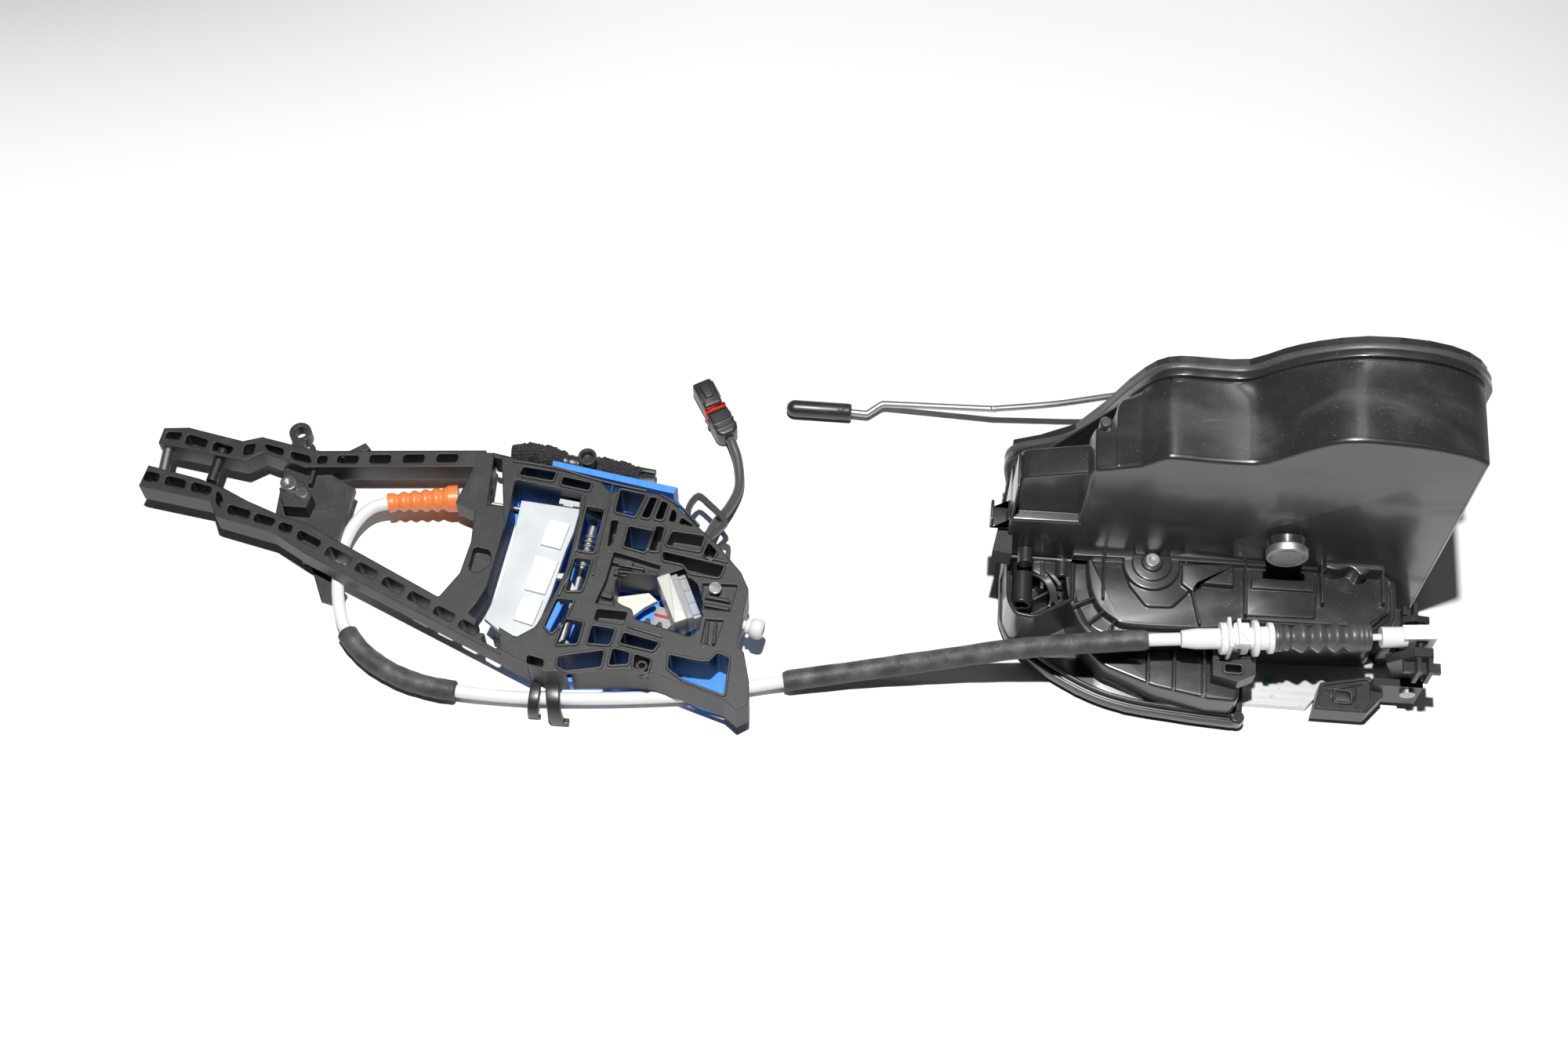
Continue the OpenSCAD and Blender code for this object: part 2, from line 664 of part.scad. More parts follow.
// The small screw in the half-round boss
module cover_screw() {
  color("#d2d5d7") translate([screw_at[0], screw_at[1], screw_top]) difference() {
    union() {
      cylinder(h = 1.6, d = 5.4);
      translate([0, 0, -6]) cylinder(h = 6 + eps, d = screw_d);
    }
    translate([0, 0, 0.6]) cylinder(h = 2, d = 2.4, $fn = 6);
  }
}

// The round steel end of the bearing pin on the flat front
module pin_cap() {
  color("#9fa5a9") difference() {
    y_rod(cap_at[0], cap_at[1], cap_d, face_y - 7, face_y - 4);
    difference() {
      y_rod(cap_at[0], cap_at[1], cap_d - 3, face_y - 8, face_y - 6.6);
      y_rod(cap_at[0], cap_at[1], cap_d - 4.4, face_y - 8, face_y - 6.4);
    }
  }
}

module felt_pad() {
  color("#3a3b3d") slab([[-117.5, 16], [low_left, 15], [low_left, 34], [-114.5, 33]], 37, 47);
}

// The block that holds the cable's abutment above the foot's rim
module cable_bracket() {
  color("#1a1b1d") difference() {
    union() {
      slab([[-30.5, -22], [-21, -24], [-14.2, -20.5], [-14.2, -9.2], [-18, -8.2], [-30.5, -5.6]],
           tread_z, cable_z - 8);
      at_cable() block([17.4, -5.5, -9], [22.4, 5.5, 0]);
    }
    block([-26, -20.5, cable_z - 18], [-19.5, -17.5, cable_z]);
    at_cable() x_rod(0, 0, 8 + 2 * fit, -10, 50);
  }
}

// The low block beside the bare steel, with an oval slot, that carries the lever's pin
module lever_bracket() {
  color("#1a1b1d") difference() {
    union() {
      slab([[11, -25.5], [31.5, -25.5], [38, -18], [38, -14.5], [33, -10], [14, -14]], plate_t, 12);
      block([33, lever_front - 3.3, plate_t], [release_x + 5, lever_front - gap, release_z + 5]);
    }
    translate([25, -19.5, 0]) {
      cylinder(h = 20, d = 4.4);
      translate([-5, 0, 0]) cylinder(h = 20, d = 4.4);
      block([-5, -2.2, 0], [0, 2.2, 20]);
    }
    y_rod(release_x, release_z, release_pin_d, -20, 8);
  }
}

module release_pin() {
  color("#b5b8ba") {
    y_rod(release_x, release_z, release_pin_d, lever_front - 3.8, lug_y + lug_t);
    y_rod(release_x, release_z, release_pin_d + 2, lever_front - 4.6, lever_front - 3.3);
  }
}

// The forked lever that the cable pulls: two arms, a cross pin and clip fingers
module release_lever() {
  color("#1c1d1f") difference() {
    union() {
      y_rod(release_x, release_z, 9, lever_front, lever_back);
      upright(lever_front, lever_front + 3.6) polygon([[release_x - 4, release_z],
        [release_x + 4, release_z], [release_x + 6, cable_z - 7], [release_x + 4, cable_z + 3],
        [release_x - 3, cable_z + 3], [release_x - 12, cable_z - 6]]);
      upright(lever_back - 2.6, lever_back) polygon([[release_x - 4, release_z],
        [release_x + 4, release_z], [release_x + 3, cable_z + 3], [release_x - 3, cable_z + 4],
        [release_x - 7, cable_z + 2]]);
      for (x = [release_x - 2, release_x + 2.4])
        block([x, lever_front - 6, cable_z - 9], [x + 1.6, lever_front + 0.1, cable_z + 2]);
      block([release_x - 6, lever_front - 4, cable_z - 5],
            [release_x + 8, lever_front + 0.1, cable_z - 3]);
      block([release_x - 7, lever_back - 0.1, cable_z - 1], [release_x - 5.4, lever_back + 3.4, cable_z + 4]);
      block([release_x - 3, lever_back - 0.1, cable_z - 1], [release_x - 1.4, lever_back + 5.4, cable_z + 4]);
      y_rod(release_x, cable_z, 3, lever_front + 3, lever_back - 2);
    }
    y_rod(release_x, release_z, release_pin_d + 2 * fit, -30, 8);
  }
}

// The lock motor, its pinion and the lever that the rod hangs on
module motor() {
  color("#7d8184") difference() {
    y_rod(pinion_x, lock_z, motor_d, face_y + cover_wall, gear_y - 3);
    y_rod(pinion_x, lock_z, 2 + 2 * fit, face_y + cover_wall + 6, gear_y);
  }
}

module motor_pinion() {
  color("#e6e2d3") {
    upright(gear_y, gear_y + gear_t) translate([pinion_x, lock_z])
      rotate(180 / pinion_teeth) gear_outline(pinion_teeth, 0, pinion_teeth - 1, 0.5);
    y_rod(pinion_x, lock_z, 2, face_y + cover_wall + 6.4, gear_y + gear_t);
  }
}

module lock_lever() {
  color("#e6e2d3") {
    upright(gear_y, gear_y + gear_t) translate([lock_x, lock_z]) gear_outline(wheel_teeth, -7, 7, 0.5);
    y_rod(lock_x, lock_z, lock_shaft_d, shaft_inner_y + 0.4, arm_y + 1);
    difference() {
      upright(arm_y, arm_y + arm_t) {
        translate([lock_x, lock_z]) circle(d = lock_shaft_d + 6);
        polygon([[lock_x - 6, lock_z], [lock_x - 4.5, arm_end_z - 5], [lock_x + 4.5, arm_end_z - 5],
                 [lock_x + 6, lock_z]]);
      }
      block([lock_x - rod_d / 2 - 0.5, arm_y - 1, arm_end_z - 3],
            [lock_x + rod_d / 2 + 0.5, arm_y + arm_t + 1, arm_end_z + 3]);
    }
  }
}

// The bent steel rod; its last stretch turns into the lever's slot
module lock_rod() {
  color("#a4a8ab") tube(concat(smooth(rod_points, 3), rod_hook), rod_d / 2, 10);
}

module rod_sleeve() {
  color("#141414") difference() {
    union() {
      x_rod(97, 4, tip_d, -178 - tip_l + tip_d / 2, -176);
      translate([-178 - tip_l + tip_d / 2, 97, 4]) sphere(d = tip_d);
    }
    x_rod(97, 4, rod_d + 2 * fit, -178 - fit, -175);
  }
}

// The Bowden cable: conduit, foam sleeves and the fittings at both ends
module conduit() { color("#eeeeea") tube(conduit_points, conduit_d / 2, 10); }

module front_foam() {
  color("#3b3c3e") sleeve(part(conduit_points, front_foam_from, front_foam_to), sleeve_d / 2,
                          conduit_d / 2 + fit);
}

module rear_foam() {
  color("#3b3c3e") sleeve(part(conduit_points, rear_foam_from, rear_foam_to), sleeve_d / 2,
                          conduit_d / 2 + fit);
}

// Ribbed boot, narrow end away from the bracket's seat
module cable_boot() {
  from = [route[0][0], route[0][1]];
  to = [route[2][0], route[2][1]];
  l = norm(to - from);
  ribs = 5;
  crest = boot_d / 2;
  color("#f26a1b") translate([from[0], from[1], route[0][2]])
    rotate([0, 90, atan2(to[1] - from[1], to[0] - from[0])]) rotate_extrude()
      polygon(concat([[conduit_d / 2 + 2 * fit, 0.2], [crest, 0.2], [crest, 4]],
        [for (i = [0 : ribs - 1], j = [0, 1]) [crest - (j == 0 ? 1.2 : 0.1) - i * 0.25,
          5 + (i + j * 0.5) * (l - 7) / ribs]],
        [[crest - 2.2, l], [conduit_d / 2 + 2 * fit, l]]));
}

// Turned white fitting with two collars; its bore guides the slider's stem
module cable_abutment() {
  color("#f2f2ee") at_cable() rotate([0, 90, 0]) difference() {
    rotate_extrude() polygon([[0, 0], [3.3, 0], [4, 6], [4, 15], [6.2, 15], [6.2, 17], [4, 17],
      [4, abutment_l - 7.4], [7, abutment_l - 7.4], [7, abutment_l - 5.8], [4.4, abutment_l - 5.8],
      [4.4, abutment_l - 2], [6, abutment_l - 2], [6, abutment_l], [0, abutment_l]]);
    translate([0, 0, 3]) cylinder(h = abutment_l, d = stem_d + 2 * fit);
  }
}

module cable_bellows() {
  folds = 5;
  crest = bellows_d / 2;
  bore = stem_d / 2 + 0.9;
  pitch = (bellows_l - 8) / folds;
  color("#303133") at_cable() translate([abutment_l, 0, 0]) rotate([0, 90, 0]) rotate_extrude()
    polygon(concat([[bore, 0], [crest - 0.5, 0], [crest - 0.5, 4]],
      [for (i = [0 : folds - 1], j = [0, 1, 2, 3]) [crest - [1.6, 0.4, 0, 0.4][j],
        4.5 + (i + [0, 0.3, 0.5, 0.7][j]) * pitch]],
      [[crest - 1.6, bellows_l - 3.4], [crest - 0.8, bellows_l - 3], [crest - 0.8, bellows_l],
       [bore, bellows_l]]));
}

// The white end piece that slides in the bellows, with an eye for the lever's pin
module cable_slider() {
  color("#f2f2ee") at_cable() difference() {
    union() {
      x_rod(0, 0, stem_d, 8, slider_x + 6);
      x_rod(0, 0, 8, slider_x + 4.2, slider_x + 14);
      block([slider_x + 12, -3, -4.6], [eye_x + 5, 3, 4.6]);
    }
    block([eye_x - 2.1, -4, -2.9], [eye_x + 2.1, 4, 2.9]);
  }
}

// The inner wire at the bracket end with its barrel nipple
module cable_wire() {
  color("#a9adaf") in_carrier() {
    x_rod(wire_y, wire_z, wire_d, -21.5, shaft_x - 6);
    translate([shaft_x - 5.7, wire_y - 2, wire_z]) rotate([-90, 0, 0]) cylinder(h = 4, d = 4);
  }
}

// The handle bracket: ladder rails, arch and the windowed body
module handle_bracket() {
  color("#1c1d20") difference() {
    union() {
      slab(upper_arm, rail_bottom, rail_top);
      slab(lower_arm, rail_bottom, rail_top);
      slab(mid_plate, rail_bottom, rail_bottom + 4);
      slab(arch, rail_bottom, rail_top);
      slab(seat_wall, rail_bottom, rail_top);
      slab(body_outline, body_bottom, body_top);
      eyelet();
    }
    rail_pockets();
    body_windows();
    lever_room();
    in_carrier() x_rod(wire_y, wire_z, wire_d + 2, -30, -5);
    translate([cable_front[0] - 6, cable_front[1] - 0.5, route[0][2]]) rotate([0, 90, 9])
      cylinder(h = 20, d = conduit_d + 0.3);
    for (x = [-452, -431]) translate([x, 44, 15]) rotate([90, 0, x == -452 ? 0 : -7.5])
      translate([0, 0, -12]) cylinder(h = 24, d = cross_pin_d);
    translate([-216, -8.5, 17]) rotate([0, 90, -12]) cylinder(h = 12, d = 4 + 2 * fit);
    translate([-223.5, 1, body_top - 8]) cylinder(h = 10, d = 3);
    for (p = [[-398, 35], [-392.5, 32]]) translate([p[0], p[1], 0]) cylinder(h = 30, d = 3);
  }
  color("#1c1d20") lever_bearings();
  color("#1c1d20") rack_teeth();
  color("#1c1d20") body_relief();
}

module eyelet() {
  difference() {
    union() {
      translate([-399, 62, 12]) cylinder(h = 6, d = 9);
      block([-401.5, 54, 12], [-396.5, 60, 18]);
    }
    translate([-399, 62, 11]) cylinder(h = 8, d = 5);
  }
}

// Pockets moulded into the top of the ladder rails; the last ones go right through
module rail_pockets() {
  blind = [
    [[-452.5, 57], [-446, 57], [-447, 53.5], [-453, 54]],
    [[-444, 56.5], [-435, 54.5], [-436, 50.5], [-444.5, 52]],
    [[-432.5, 54], [-424, 52], [-425.5, 48.5], [-433, 50]],
    [[-420, 53.5], [-415.5, 54.5], [-416, 49.5], [-420, 48.5]],
    [[-412.5, 54.5], [-404, 53], [-403.5, 49.5], [-410, 51.5]],
    [[-401, 52], [-393, 50.5], [-391.5, 47], [-400, 48.5]],
    [[-389.5, 50.8], [-385.5, 51], [-385.5, 47.5], [-389.5, 47]],
    [[-381.5, 51.5], [-373, 52.2], [-373, 48.5], [-381.5, 48]],
    [[-368.5, 52.8], [-360, 53.5], [-360, 49.7], [-368.5, 49]],
    [[-355, 54], [-346.5, 54.8], [-346.5, 51], [-355, 50.3]],
    [[-341.5, 55.3], [-333, 56], [-333, 52.3], [-341.5, 51.6]],
    [[-457.5, 38.5], [-451.5, 37.5], [-452, 33.5], [-458, 34.2]],
    [[-449, 37], [-440.5, 35.5], [-440.5, 31.5], [-449, 33]],
    [[-438, 35], [-429.5, 33.2], [-430, 29.5], [-438, 31]],
    [[-427.5, 32], [-424.5, 29], [-424, 23.5], [-427, 26.5]],
    [[-421.5, 26], [-412, 23.8], [-412.5, 20], [-421.5, 22]],
    [[-410, 23], [-401.5, 21], [-402.5, 17.5], [-410.5, 19.5]],
    [[-399.5, 20], [-394, 18.5], [-395, 15], [-400, 16.5]],
    [[-391.5, 17], [-381.5, 12.5], [-383, 9], [-392, 13.2]]
  ];
  through = [
    [[-378.5, 11], [-368, 6.2], [-370, 2.5], [-380, 7]],
    [[-365.5, 5], [-357, 1], [-358.5, -2.5], [-367, 1.2]],
    [[-354, -0.5], [-345.5, -4.5], [-347, -8], [-355.5, -4]],
    [[-343, -6], [-334.5, -10], [-336, -13.5], [-344.5, -9.5]],
    [[-332, -11.5], [-324, -15], [-325.5, -18.5], [-333.5, -15]],
    [[-321.5, -16.5], [-314, -20], [-315.5, -23.5], [-323, -20]],
    [[-311.5, -21.5], [-304.5, -24.5], [-306, -28.5], [-313, -25]]
  ];
  for (c = blind) slab(clipped(c, 0.8), rail_bottom + pocket_floor, rail_top + 1);
  for (c = through) slab(clipped(c, 0.8), -1, rail_top + 1);
  // The hollow in the middle of the arch
  slab(clipped([[-321, 15], [-314.5, 14], [-313, 8], [-318, 3.5], [-322, 5]], 1), rail_top - 5, rail_top + 1);
}

// The windows of the body, each a moulded cell
module body_windows() {
  open_cells = [
    // The opening of the handle lever
    [[-307.5, 43], [-308.5, 29], [-310, 15], [-312.5, 1], [-316.5, -9], [-319.5, -14], [-298.5, -25.5],
     [-291.5, -20.5], [-288, -12], [-285, -3.5], [-282.5, 5.5], [-281.5, 14], [-280.5, 26.5],
     [-280.5, 39]],
    // Spring, hook and lower window between the two bars
    [[-277.5, 33], [-279, 13.5], [-272.5, 13], [-270.5, 32]],
    [[-279.5, 10], [-281.5, -4.5], [-275.5, -4], [-273, 9.5]],
    [[-284.5, -8], [-288, -20], [-285, -23], [-281, -18], [-278, -8.5]],
    // Slots of the top bar
    [[-305, 48.7], [-306, 45], [-292.5, 43.4], [-291.5, 47.2]],
    [[-288.5, 45.5], [-289, 42], [-277.5, 40.2], [-277, 43.5]],
    // The four cells under the slanted ribs
    [[-265, 41.5], [-266, 31.5], [-258, 30], [-254.8, 39.8]],
    [[-252.6, 39.3], [-255.5, 30], [-252.4, 29.6], [-250, 38.6]],
    [[-248, 37.8], [-250, 29.6], [-247, 29.4], [-245.5, 36.6]],
    [[-243.6, 35], [-244.6, 29.4], [-242, 29.2], [-241.8, 33.2]],
    [[-239.6, 31.4], [-240.4, 28.6], [-234.2, 27.8]],
    // Beside the light block's holder
    [[-260, 25.5], [-261, 16.5], [-252.5, 14.7], [-250.4, 24]],
    // The centre opening
    [[-262.6, 5.5], [-254.5, 5.2], [-233.5, 5.2], [-230.5, 2.5], [-228, -4],
     [-228, -16.5], [-231.5, -20], [-253.5, -14], [-255, -10], [-259.5, -8.4], [-262.6, -6]],
    // The lower rows
    [[-269.5, -18.5], [-270.5, -26], [-262, -26], [-260.5, -19.5]],
    [[-257, -20.5], [-258, -25], [-245, -27.2], [-243, -23.8]],
    [[-281, -32.5], [-281, -36.5], [-277.5, -38.2], [-264.3, -35.5], [-263.8, -28.6]],
    [[-260.5, -27.5], [-261.2, -34.5], [-254, -33.5], [-254, -28.8]],
    [[-238.5, -28.5], [-238.5, -34], [-232, -38.5], [-216, -43.5], [-215.5, -28], [-220, -26.2],
     [-223, -30.2], [-227.5, -30.2]],
    [[-293, -32.5], [-293, -36], [-286.5, -37], [-286.5, -34]]
  ];
  for (c = open_cells) slab(clipped(c, 0.6), -1, body_top + 1);
  // Room for the clear block
  translate([-237.2, -3.4, -1]) rotate(-65) block([-10.9, -6, 0], [10.9, 6, body_top + 2]);
  // Blind cells with their floor this far under the top
  blind = [
    [9, [[-242.5, 24.6], [-244.5, 18.5], [-231, 16.8], [-229.8, 23.4]]],
    [13, [[-249, 26.5], [-251, 15.5], [-247.2, 15.5], [-246, 26]]],
    [12, [[-267.2, 28], [-267.4, 16], [-265.4, 18.5], [-264.4, 28]]],
    [11, [[-245.5, 15.4], [-245, 11.8], [-237, 10.6], [-234, 7], [-222.4, 6], [-220.8, 11]]],
    [10, [[-227.8, 20.8], [-229.5, 15.5], [-226, 13.4], [-224.2, 17]]],
    [8, [[-268.5, -11], [-269.2, -15.8], [-257.6, -17], [-256.6, -11.4]]],
    [12, [[-280, -16.5], [-282.5, -27.5], [-274.5, -26.5], [-273.2, -17.5]]],
    [7, [[-251.8, -29.2], [-251.8, -35], [-246.3, -36.5], [-245.4, -30.8]]]
  ];
  for (c = blind) slab(clipped(c[1], 0.6), body_top - c[0], body_top + 1);
  // The stepped ground round the centre opening lies below the bars
  sunk = [
    [4, [[-264.6, 14], [-266.5, 2], [-269.5, -8.4], [-262, -9], [-263.6, -3], [-262, 6.5], [-246, 5.5],
         [-246, 9.5], [-258, 12.5]]],
    [2.5, [[-228.5, 3.2], [-228.5, -7.5], [-217, -8], [-215, 3.6]]],
    [2, [[-226, -12], [-227, -22], [-221.5, -23.2], [-219, -12]]]
  ];
  for (c = sunk) slab(c[1], body_top - c[0], body_top + 1);
}

// Clips, posts and small ribs that stand on the sunk ground
module body_relief() {
  low = body_top - 4.5;
  slab([[-264.4, 12.6], [-265, 9.8], [-257, 8.6], [-256.6, 11]], low, body_top - 1);
  slab([[-263.6, 7.4], [-264, 5.4], [-258.6, 4.6], [-258.4, 6.8]], low, body_top - 2);
  slab([[-255.4, 8.8], [-255.8, 5.8], [-252.6, 5.4], [-252, 8.4]], low, body_top - 0.6);
  slab([[-250.6, 8], [-251, 5.4], [-247.4, 5.2], [-247, 7.6]], low, body_top - 2);
  slab([[-267.4, -2.4], [-268, -4.8], [-263.6, -5.6], [-263.2, -3.2]], low, body_top - 1.4);
  slab([[-268.4, -5.8], [-268.8, -7.6], [-261, -8.4], [-261, -6.4]], low, body_top - 2.4);
  for (y = [-1.5, -5]) slab([[-227, y], [-227, y - 1.4], [-217.4, y - 2.6], [-217.4, y - 1.2]],
                            body_top - 3, body_top);
  for (x = [-225.5, -222.5]) slab([[x, -12.6], [x, -22], [x + 1, -22.2], [x + 1, -12.6]],
                                  body_top - 2.5, body_top);
  slab([[-318.5, 55.6], [-317.5, 53.4], [-296, 49.2], [-296.3, 51.4]], body_bottom + 4, body_top - 2);
  slab([[-381, 52], [-380, 51], [-369, 56], [-371.5, 58.6]], rail_bottom + 3, rail_top - 1);
  slab([[-391.5, 48], [-390, 48], [-390.8, 39.5], [-392.3, 39.5]], rail_bottom + 3, rail_top - 3);
  translate([-248.8, -32.6, body_top - 8]) difference() {
    cylinder(h = 6, d = 4.4);
    translate([0, 0, 1]) cylinder(h = 6, d = 2.4);
  }
}

// Clear space under the body's bars where the handle lever swings
module lever_room() {
  in_carrier() block([-12, shaft_front - gap, -1],
                     [shaft_x + 8, shaft_back + gap, lever_top + 6.8]);
}

module lever_bearings() {
  in_carrier() for (y = [shaft_front - bearing_t - gap, shaft_back + gap]) difference() {
    block([shaft_x - 5, y, tray_t + gap], [shaft_x + 5, y + bearing_t, body_bottom + 8]);
    translate([shaft_x, y - 1, lever_z]) rotate([-90, 0, 0])
      cylinder(h = bearing_t + 2, d = lever_pin_d);
  }
}

// The short rack moulded beside the centre opening
module rack_teeth() {
  for (k = [0 : 4])
    translate([-250 + 4.7 * k, -15 - 1.25 * k, 0]) rotate(-15)
      slab([[0, -2.2], [3, -2.2], [3, 0.2], [1.9, 2.2], [0.9, 2.2], [0, 0.2]], body_top - 9, body_top - 0.5);
}

// The blue tray under the body and its upturned flange at the back
module guard_tray() {
  floor_outline = [
    [-302, -27], [-286, -35.5], [-255, -33], [-240, -31.5], [-231, -31], [-219, -27], [-215, -20],
    [-213, 3], [-226, 19], [-240, 31], [-238, 41], [-243, 47.5], [-294.5, 56], [-295, 49], [-311, 51],
    [-306, 20], [-306, 0]
  ];
  color("#1f6ff0") {
    difference() {
      slab(floor_outline, 0, body_bottom);
      slab(inset(floor_outline, tray_wall), tray_t, body_bottom + 1);
      in_carrier() x_rod(wire_y, wire_z, wire_d + 2, -30, -5);
      in_carrier() for (y = [shaft_front - bearing_t - 2 * gap, shaft_back])
        block([shaft_x - 5 - gap, y, tray_t], [shaft_x + 5 + gap, y + bearing_t + 2 * gap, 30]);
    }
    slab([[-294.5, 53.4], [-244.5, 44.8], [-243, 47.6], [-294.5, 56]], tray_t, rail_top);
    block([-262, -4, tray_t - eps], [-256, 1, 7.8]);
  }
}

module cross_pin(x, tilt) {
  translate([x, 44, 15]) rotate([90, 0, tilt]) translate([0, 0, -9])
    cylinder(h = 15, d = cross_pin_d - eps);
}
module hook_pin() { color("#3a3c3f") cross_pin(-452, 0); }
module hinge_pin() { color("#232427") cross_pin(-431, -7.5); }

// The block with an oval seat that grips the handle's front stud
module clamp_block() {
  color("#202124") difference() {
    slab([[-402, 33.5], [-399, 26], [-390, 26], [-388.5, 32], [-393, 37.5], [-399, 38.5]],
         rail_bottom + 4, body_top - 4);
    for (p = [[-398, 35], [-392.5, 32]]) translate([p[0], p[1], 0]) cylinder(h = 40, d = 3);
  }
}

module clamp_screws() {
  color("#cfd2d4") {
    translate([-398, 35, rail_bottom - 1]) cylinder(h = body_top - rail_bottom - 3 + eps, d = 3 - eps);
    translate([-398, 35, body_top - 4]) difference() {
      cylinder(h = 3.4, d = 6.4);
      translate([0, 0, 1.6]) cylinder(h = 3, d = 3);
    }
    translate([-392.5, 32, rail_bottom - 1]) cylinder(h = body_top - rail_bottom - 3 + eps, d = 3 - eps);
    translate([-392.5, 32, body_top - 4]) cylinder(h = 1.6, d = 5);
  }
}

// The pale lever that the handle's hook lifts; it turns on its shaft and pulls the wire
module handle_lever() {
  z0 = lever_top - lever_t;
  color("#d4d9de") in_carrier() {
    difference() {
      union() {
        slab(lever_plate, z0, lever_top);
        slab([[3.8, 9.5], [12, 9], [13, 20.5], [4.5, 21]], lever_top - eps, lever_top + 1.4);
        slab([[2.5, -11], [11, -11.5], [12.5, 3.5], [3, 4.5]], lever_top - eps, lever_top + 1.4);
        slab([[1.5, -24.5], [9.5, -25.5], [10.8, -14], [2.6, -14]], lever_top - eps, lever_top + 1.4);
      }
      block([shaft_x - 9.5, wire_y - 2.4, z0 - 1], [shaft_x, wire_y + 2.4, z0 + 1]);
    }
    for (y = [[-31, -25], [29.4, 31.6]]) difference() {
      union() {
        translate([shaft_x, y[0], lever_z]) rotate([-90, 0, 0]) cylinder(h = y[1] - y[0], r = 3.6);
        upright(y[0], y[1]) polygon([[shaft_x - 3.4, lever_z], [shaft_x + 2, lever_z + 2.6],
          [shaft_x - 6, lever_top], [shaft_x - 14, lever_top], [shaft_x - 14, z0]]);
      }
      translate([shaft_x, y[0] - 1, lever_z]) rotate([-90, 0, 0])
        cylinder(h = 9, d = lever_pin_d + 2 * fit);
    }
    block([shaft_x - 12, 28.8, z0], [shaft_x - 8, 29.6, lever_top]);
    difference() {
      block([shaft_x - 9.6, wire_y - 3, wire_z - 3], [shaft_x - 8, wire_y + 3, z0 + 0.5]);
      block([shaft_x - 10, wire_y - 1.2, wire_z - 4], [shaft_x - 7, wire_y + 1.2, z0]);
    }
    slab([[11.5, -1], [17, 0], [22, -6], [17.5, -13], [16, -11], [18.5, -6], [16, -2.6], [8, -3.4], [8, -1]],
         z0, lever_top - 0.6);
  }
}

module lever_shaft() {
  color("#b5b8ba") in_carrier() translate([shaft_x, shaft_front - bearing_t - gap, lever_z])
    rotate([-90, 0, 0]) cylinder(h = shaft_back - shaft_front + 2 * bearing_t + 2 * gap, d = lever_pin_d);
}

module lever_spring() {
  color("#a9adaf") in_carrier() translate([shaft_x, 7, lever_z]) rotate([-90, 0, 0])
    coil(7, lever_pin_d / 2 + 0.9, 1, 15);
}

// Small fixed pieces in the bracket's centre
module cream_plate() {
  color("#e9e4d6") slab([[-262.6, 2], [-250.6, 4.6], [-247, 1.5], [-252, -2], [-257, -7], [-262.6, -4.6]],
                        7.8, 10.4);
}

module light_holder() {
  color("#c9ced2") difference() {
    translate([-240.5, -8.5, tray_t]) rotate(-12) block([-7, -4.5, 0], [7, 4.5, 13]);
    translate([-240.5, -8.5, tray_t]) rotate(-12) block([-5.6, -3.2, 1], [5.6, 3.2, 12]);
  }
}

module light_block() {
  color("#dfe5e8") translate([-237.2, -3.4, tray_t + 13]) rotate(-65) {
    block([-10.5, -5.6, 0], [10.5, 1, 13]);
    block([-9, 1 - eps, 0], [10.5, 5.6, 10.5]);
  }
}

module barrel_pin() {
  color("#c9cccf") {
    translate([-223.5, 1, body_top - 7]) cylinder(h = 7 + eps, d = 3 - eps);
    translate([-223.5, 1, body_top]) cylinder(h = 1.6, d = 5);
  }
}

// The off-white screw head on the bracket's right end
module fixing_screw() {
  color("#dcdfe0") translate([-216, -8.5, 17]) rotate([0, 90, -12]) difference() {
    union() {
      translate([0, 0, 0.6]) cylinder(h = 7, d = 4);
      translate([0, 0, 5.6]) cylinder(h = 2, d = 6);
      translate([0, 0, 7.5]) cylinder(h = 5, d = 7.4);
    }
    translate([0, 0, 10]) cylinder(h = 3, d = 3.6, $fn = 6);
  }
}

// Closed plastic loops that guide the pigtail, moulded against the bracket's back edge
module guide_loop() {
  wide = smooth([[-236, 26, 0], [-238.6, 35, 0], [-239, 41.5, 0], [-235, 47.5, 0], [-229.5, 44, 0],
                 [-222, 36.4, 0], [-223.5, 32, 0], [-229, 26, 0]], 3);
  small = smooth([[-228, 15, 0], [-226, 24, 0], [-223, 27, 0], [-220, 26, 0], [-219.8, 20, 0],
                  [-221, 12, 0]], 3);
  color("#1c1d20") flat_loop(wide, 2.2, 15, 17.2);
  color("#1c1d20") flat_loop(small, 2, 12, 14);
}

module flat_loop(path, width, z0, z1) {
  outline = [for (i = [len(path) - 1 : -1 : 0]) [path[i][0], path[i][1]]];
  difference() {
    slab(outline, z0, z1);
    slab(inset(outline, width), z0 - 1, z1 + 1);
    slab(body_outline, z0 - 1, z1 + 1);
  }
}

// Two hooks that hold the conduit under the bracket
module cable_hooks() {
  color("#26272a") difference() {
    union() {
      hook(-290.5, -41.5, 4.7, 2.6);
      hook(-282.5, -40, 7, 5.4);
    }
    slab(body_outline, 0, body_top);
  }
}

// A round bar out of the bracket's wall and a quarter turn down in front of the conduit
module hook(x, y, bend, d) {
  y_rod(x, bend + 4.5, d, y - 1, -30);
  translate([x, y - 1, 4.5]) rotate([90, 0, -90]) rotate_extrude(angle = 90)
    translate([bend, 0]) circle(d = d);
  translate([x, y - 1 - bend, d / 2]) cylinder(h = 4.5 - d / 2, d = d);
  translate([x, y - 1 - bend, d / 2]) sphere(d = d);
}

// The flat arm under the lower rail that the conduit is led over
module under_clip() {
  color("#202124") {
    slab([[-393, 15], [-389, 11], [-382, -5], [-374, -7], [-372, -2], [-378, 3], [-385, 14]], 0, 2.2);
    block([-392, 10.5, 0], [-387, 14.5, rail_bottom]);
  }
}

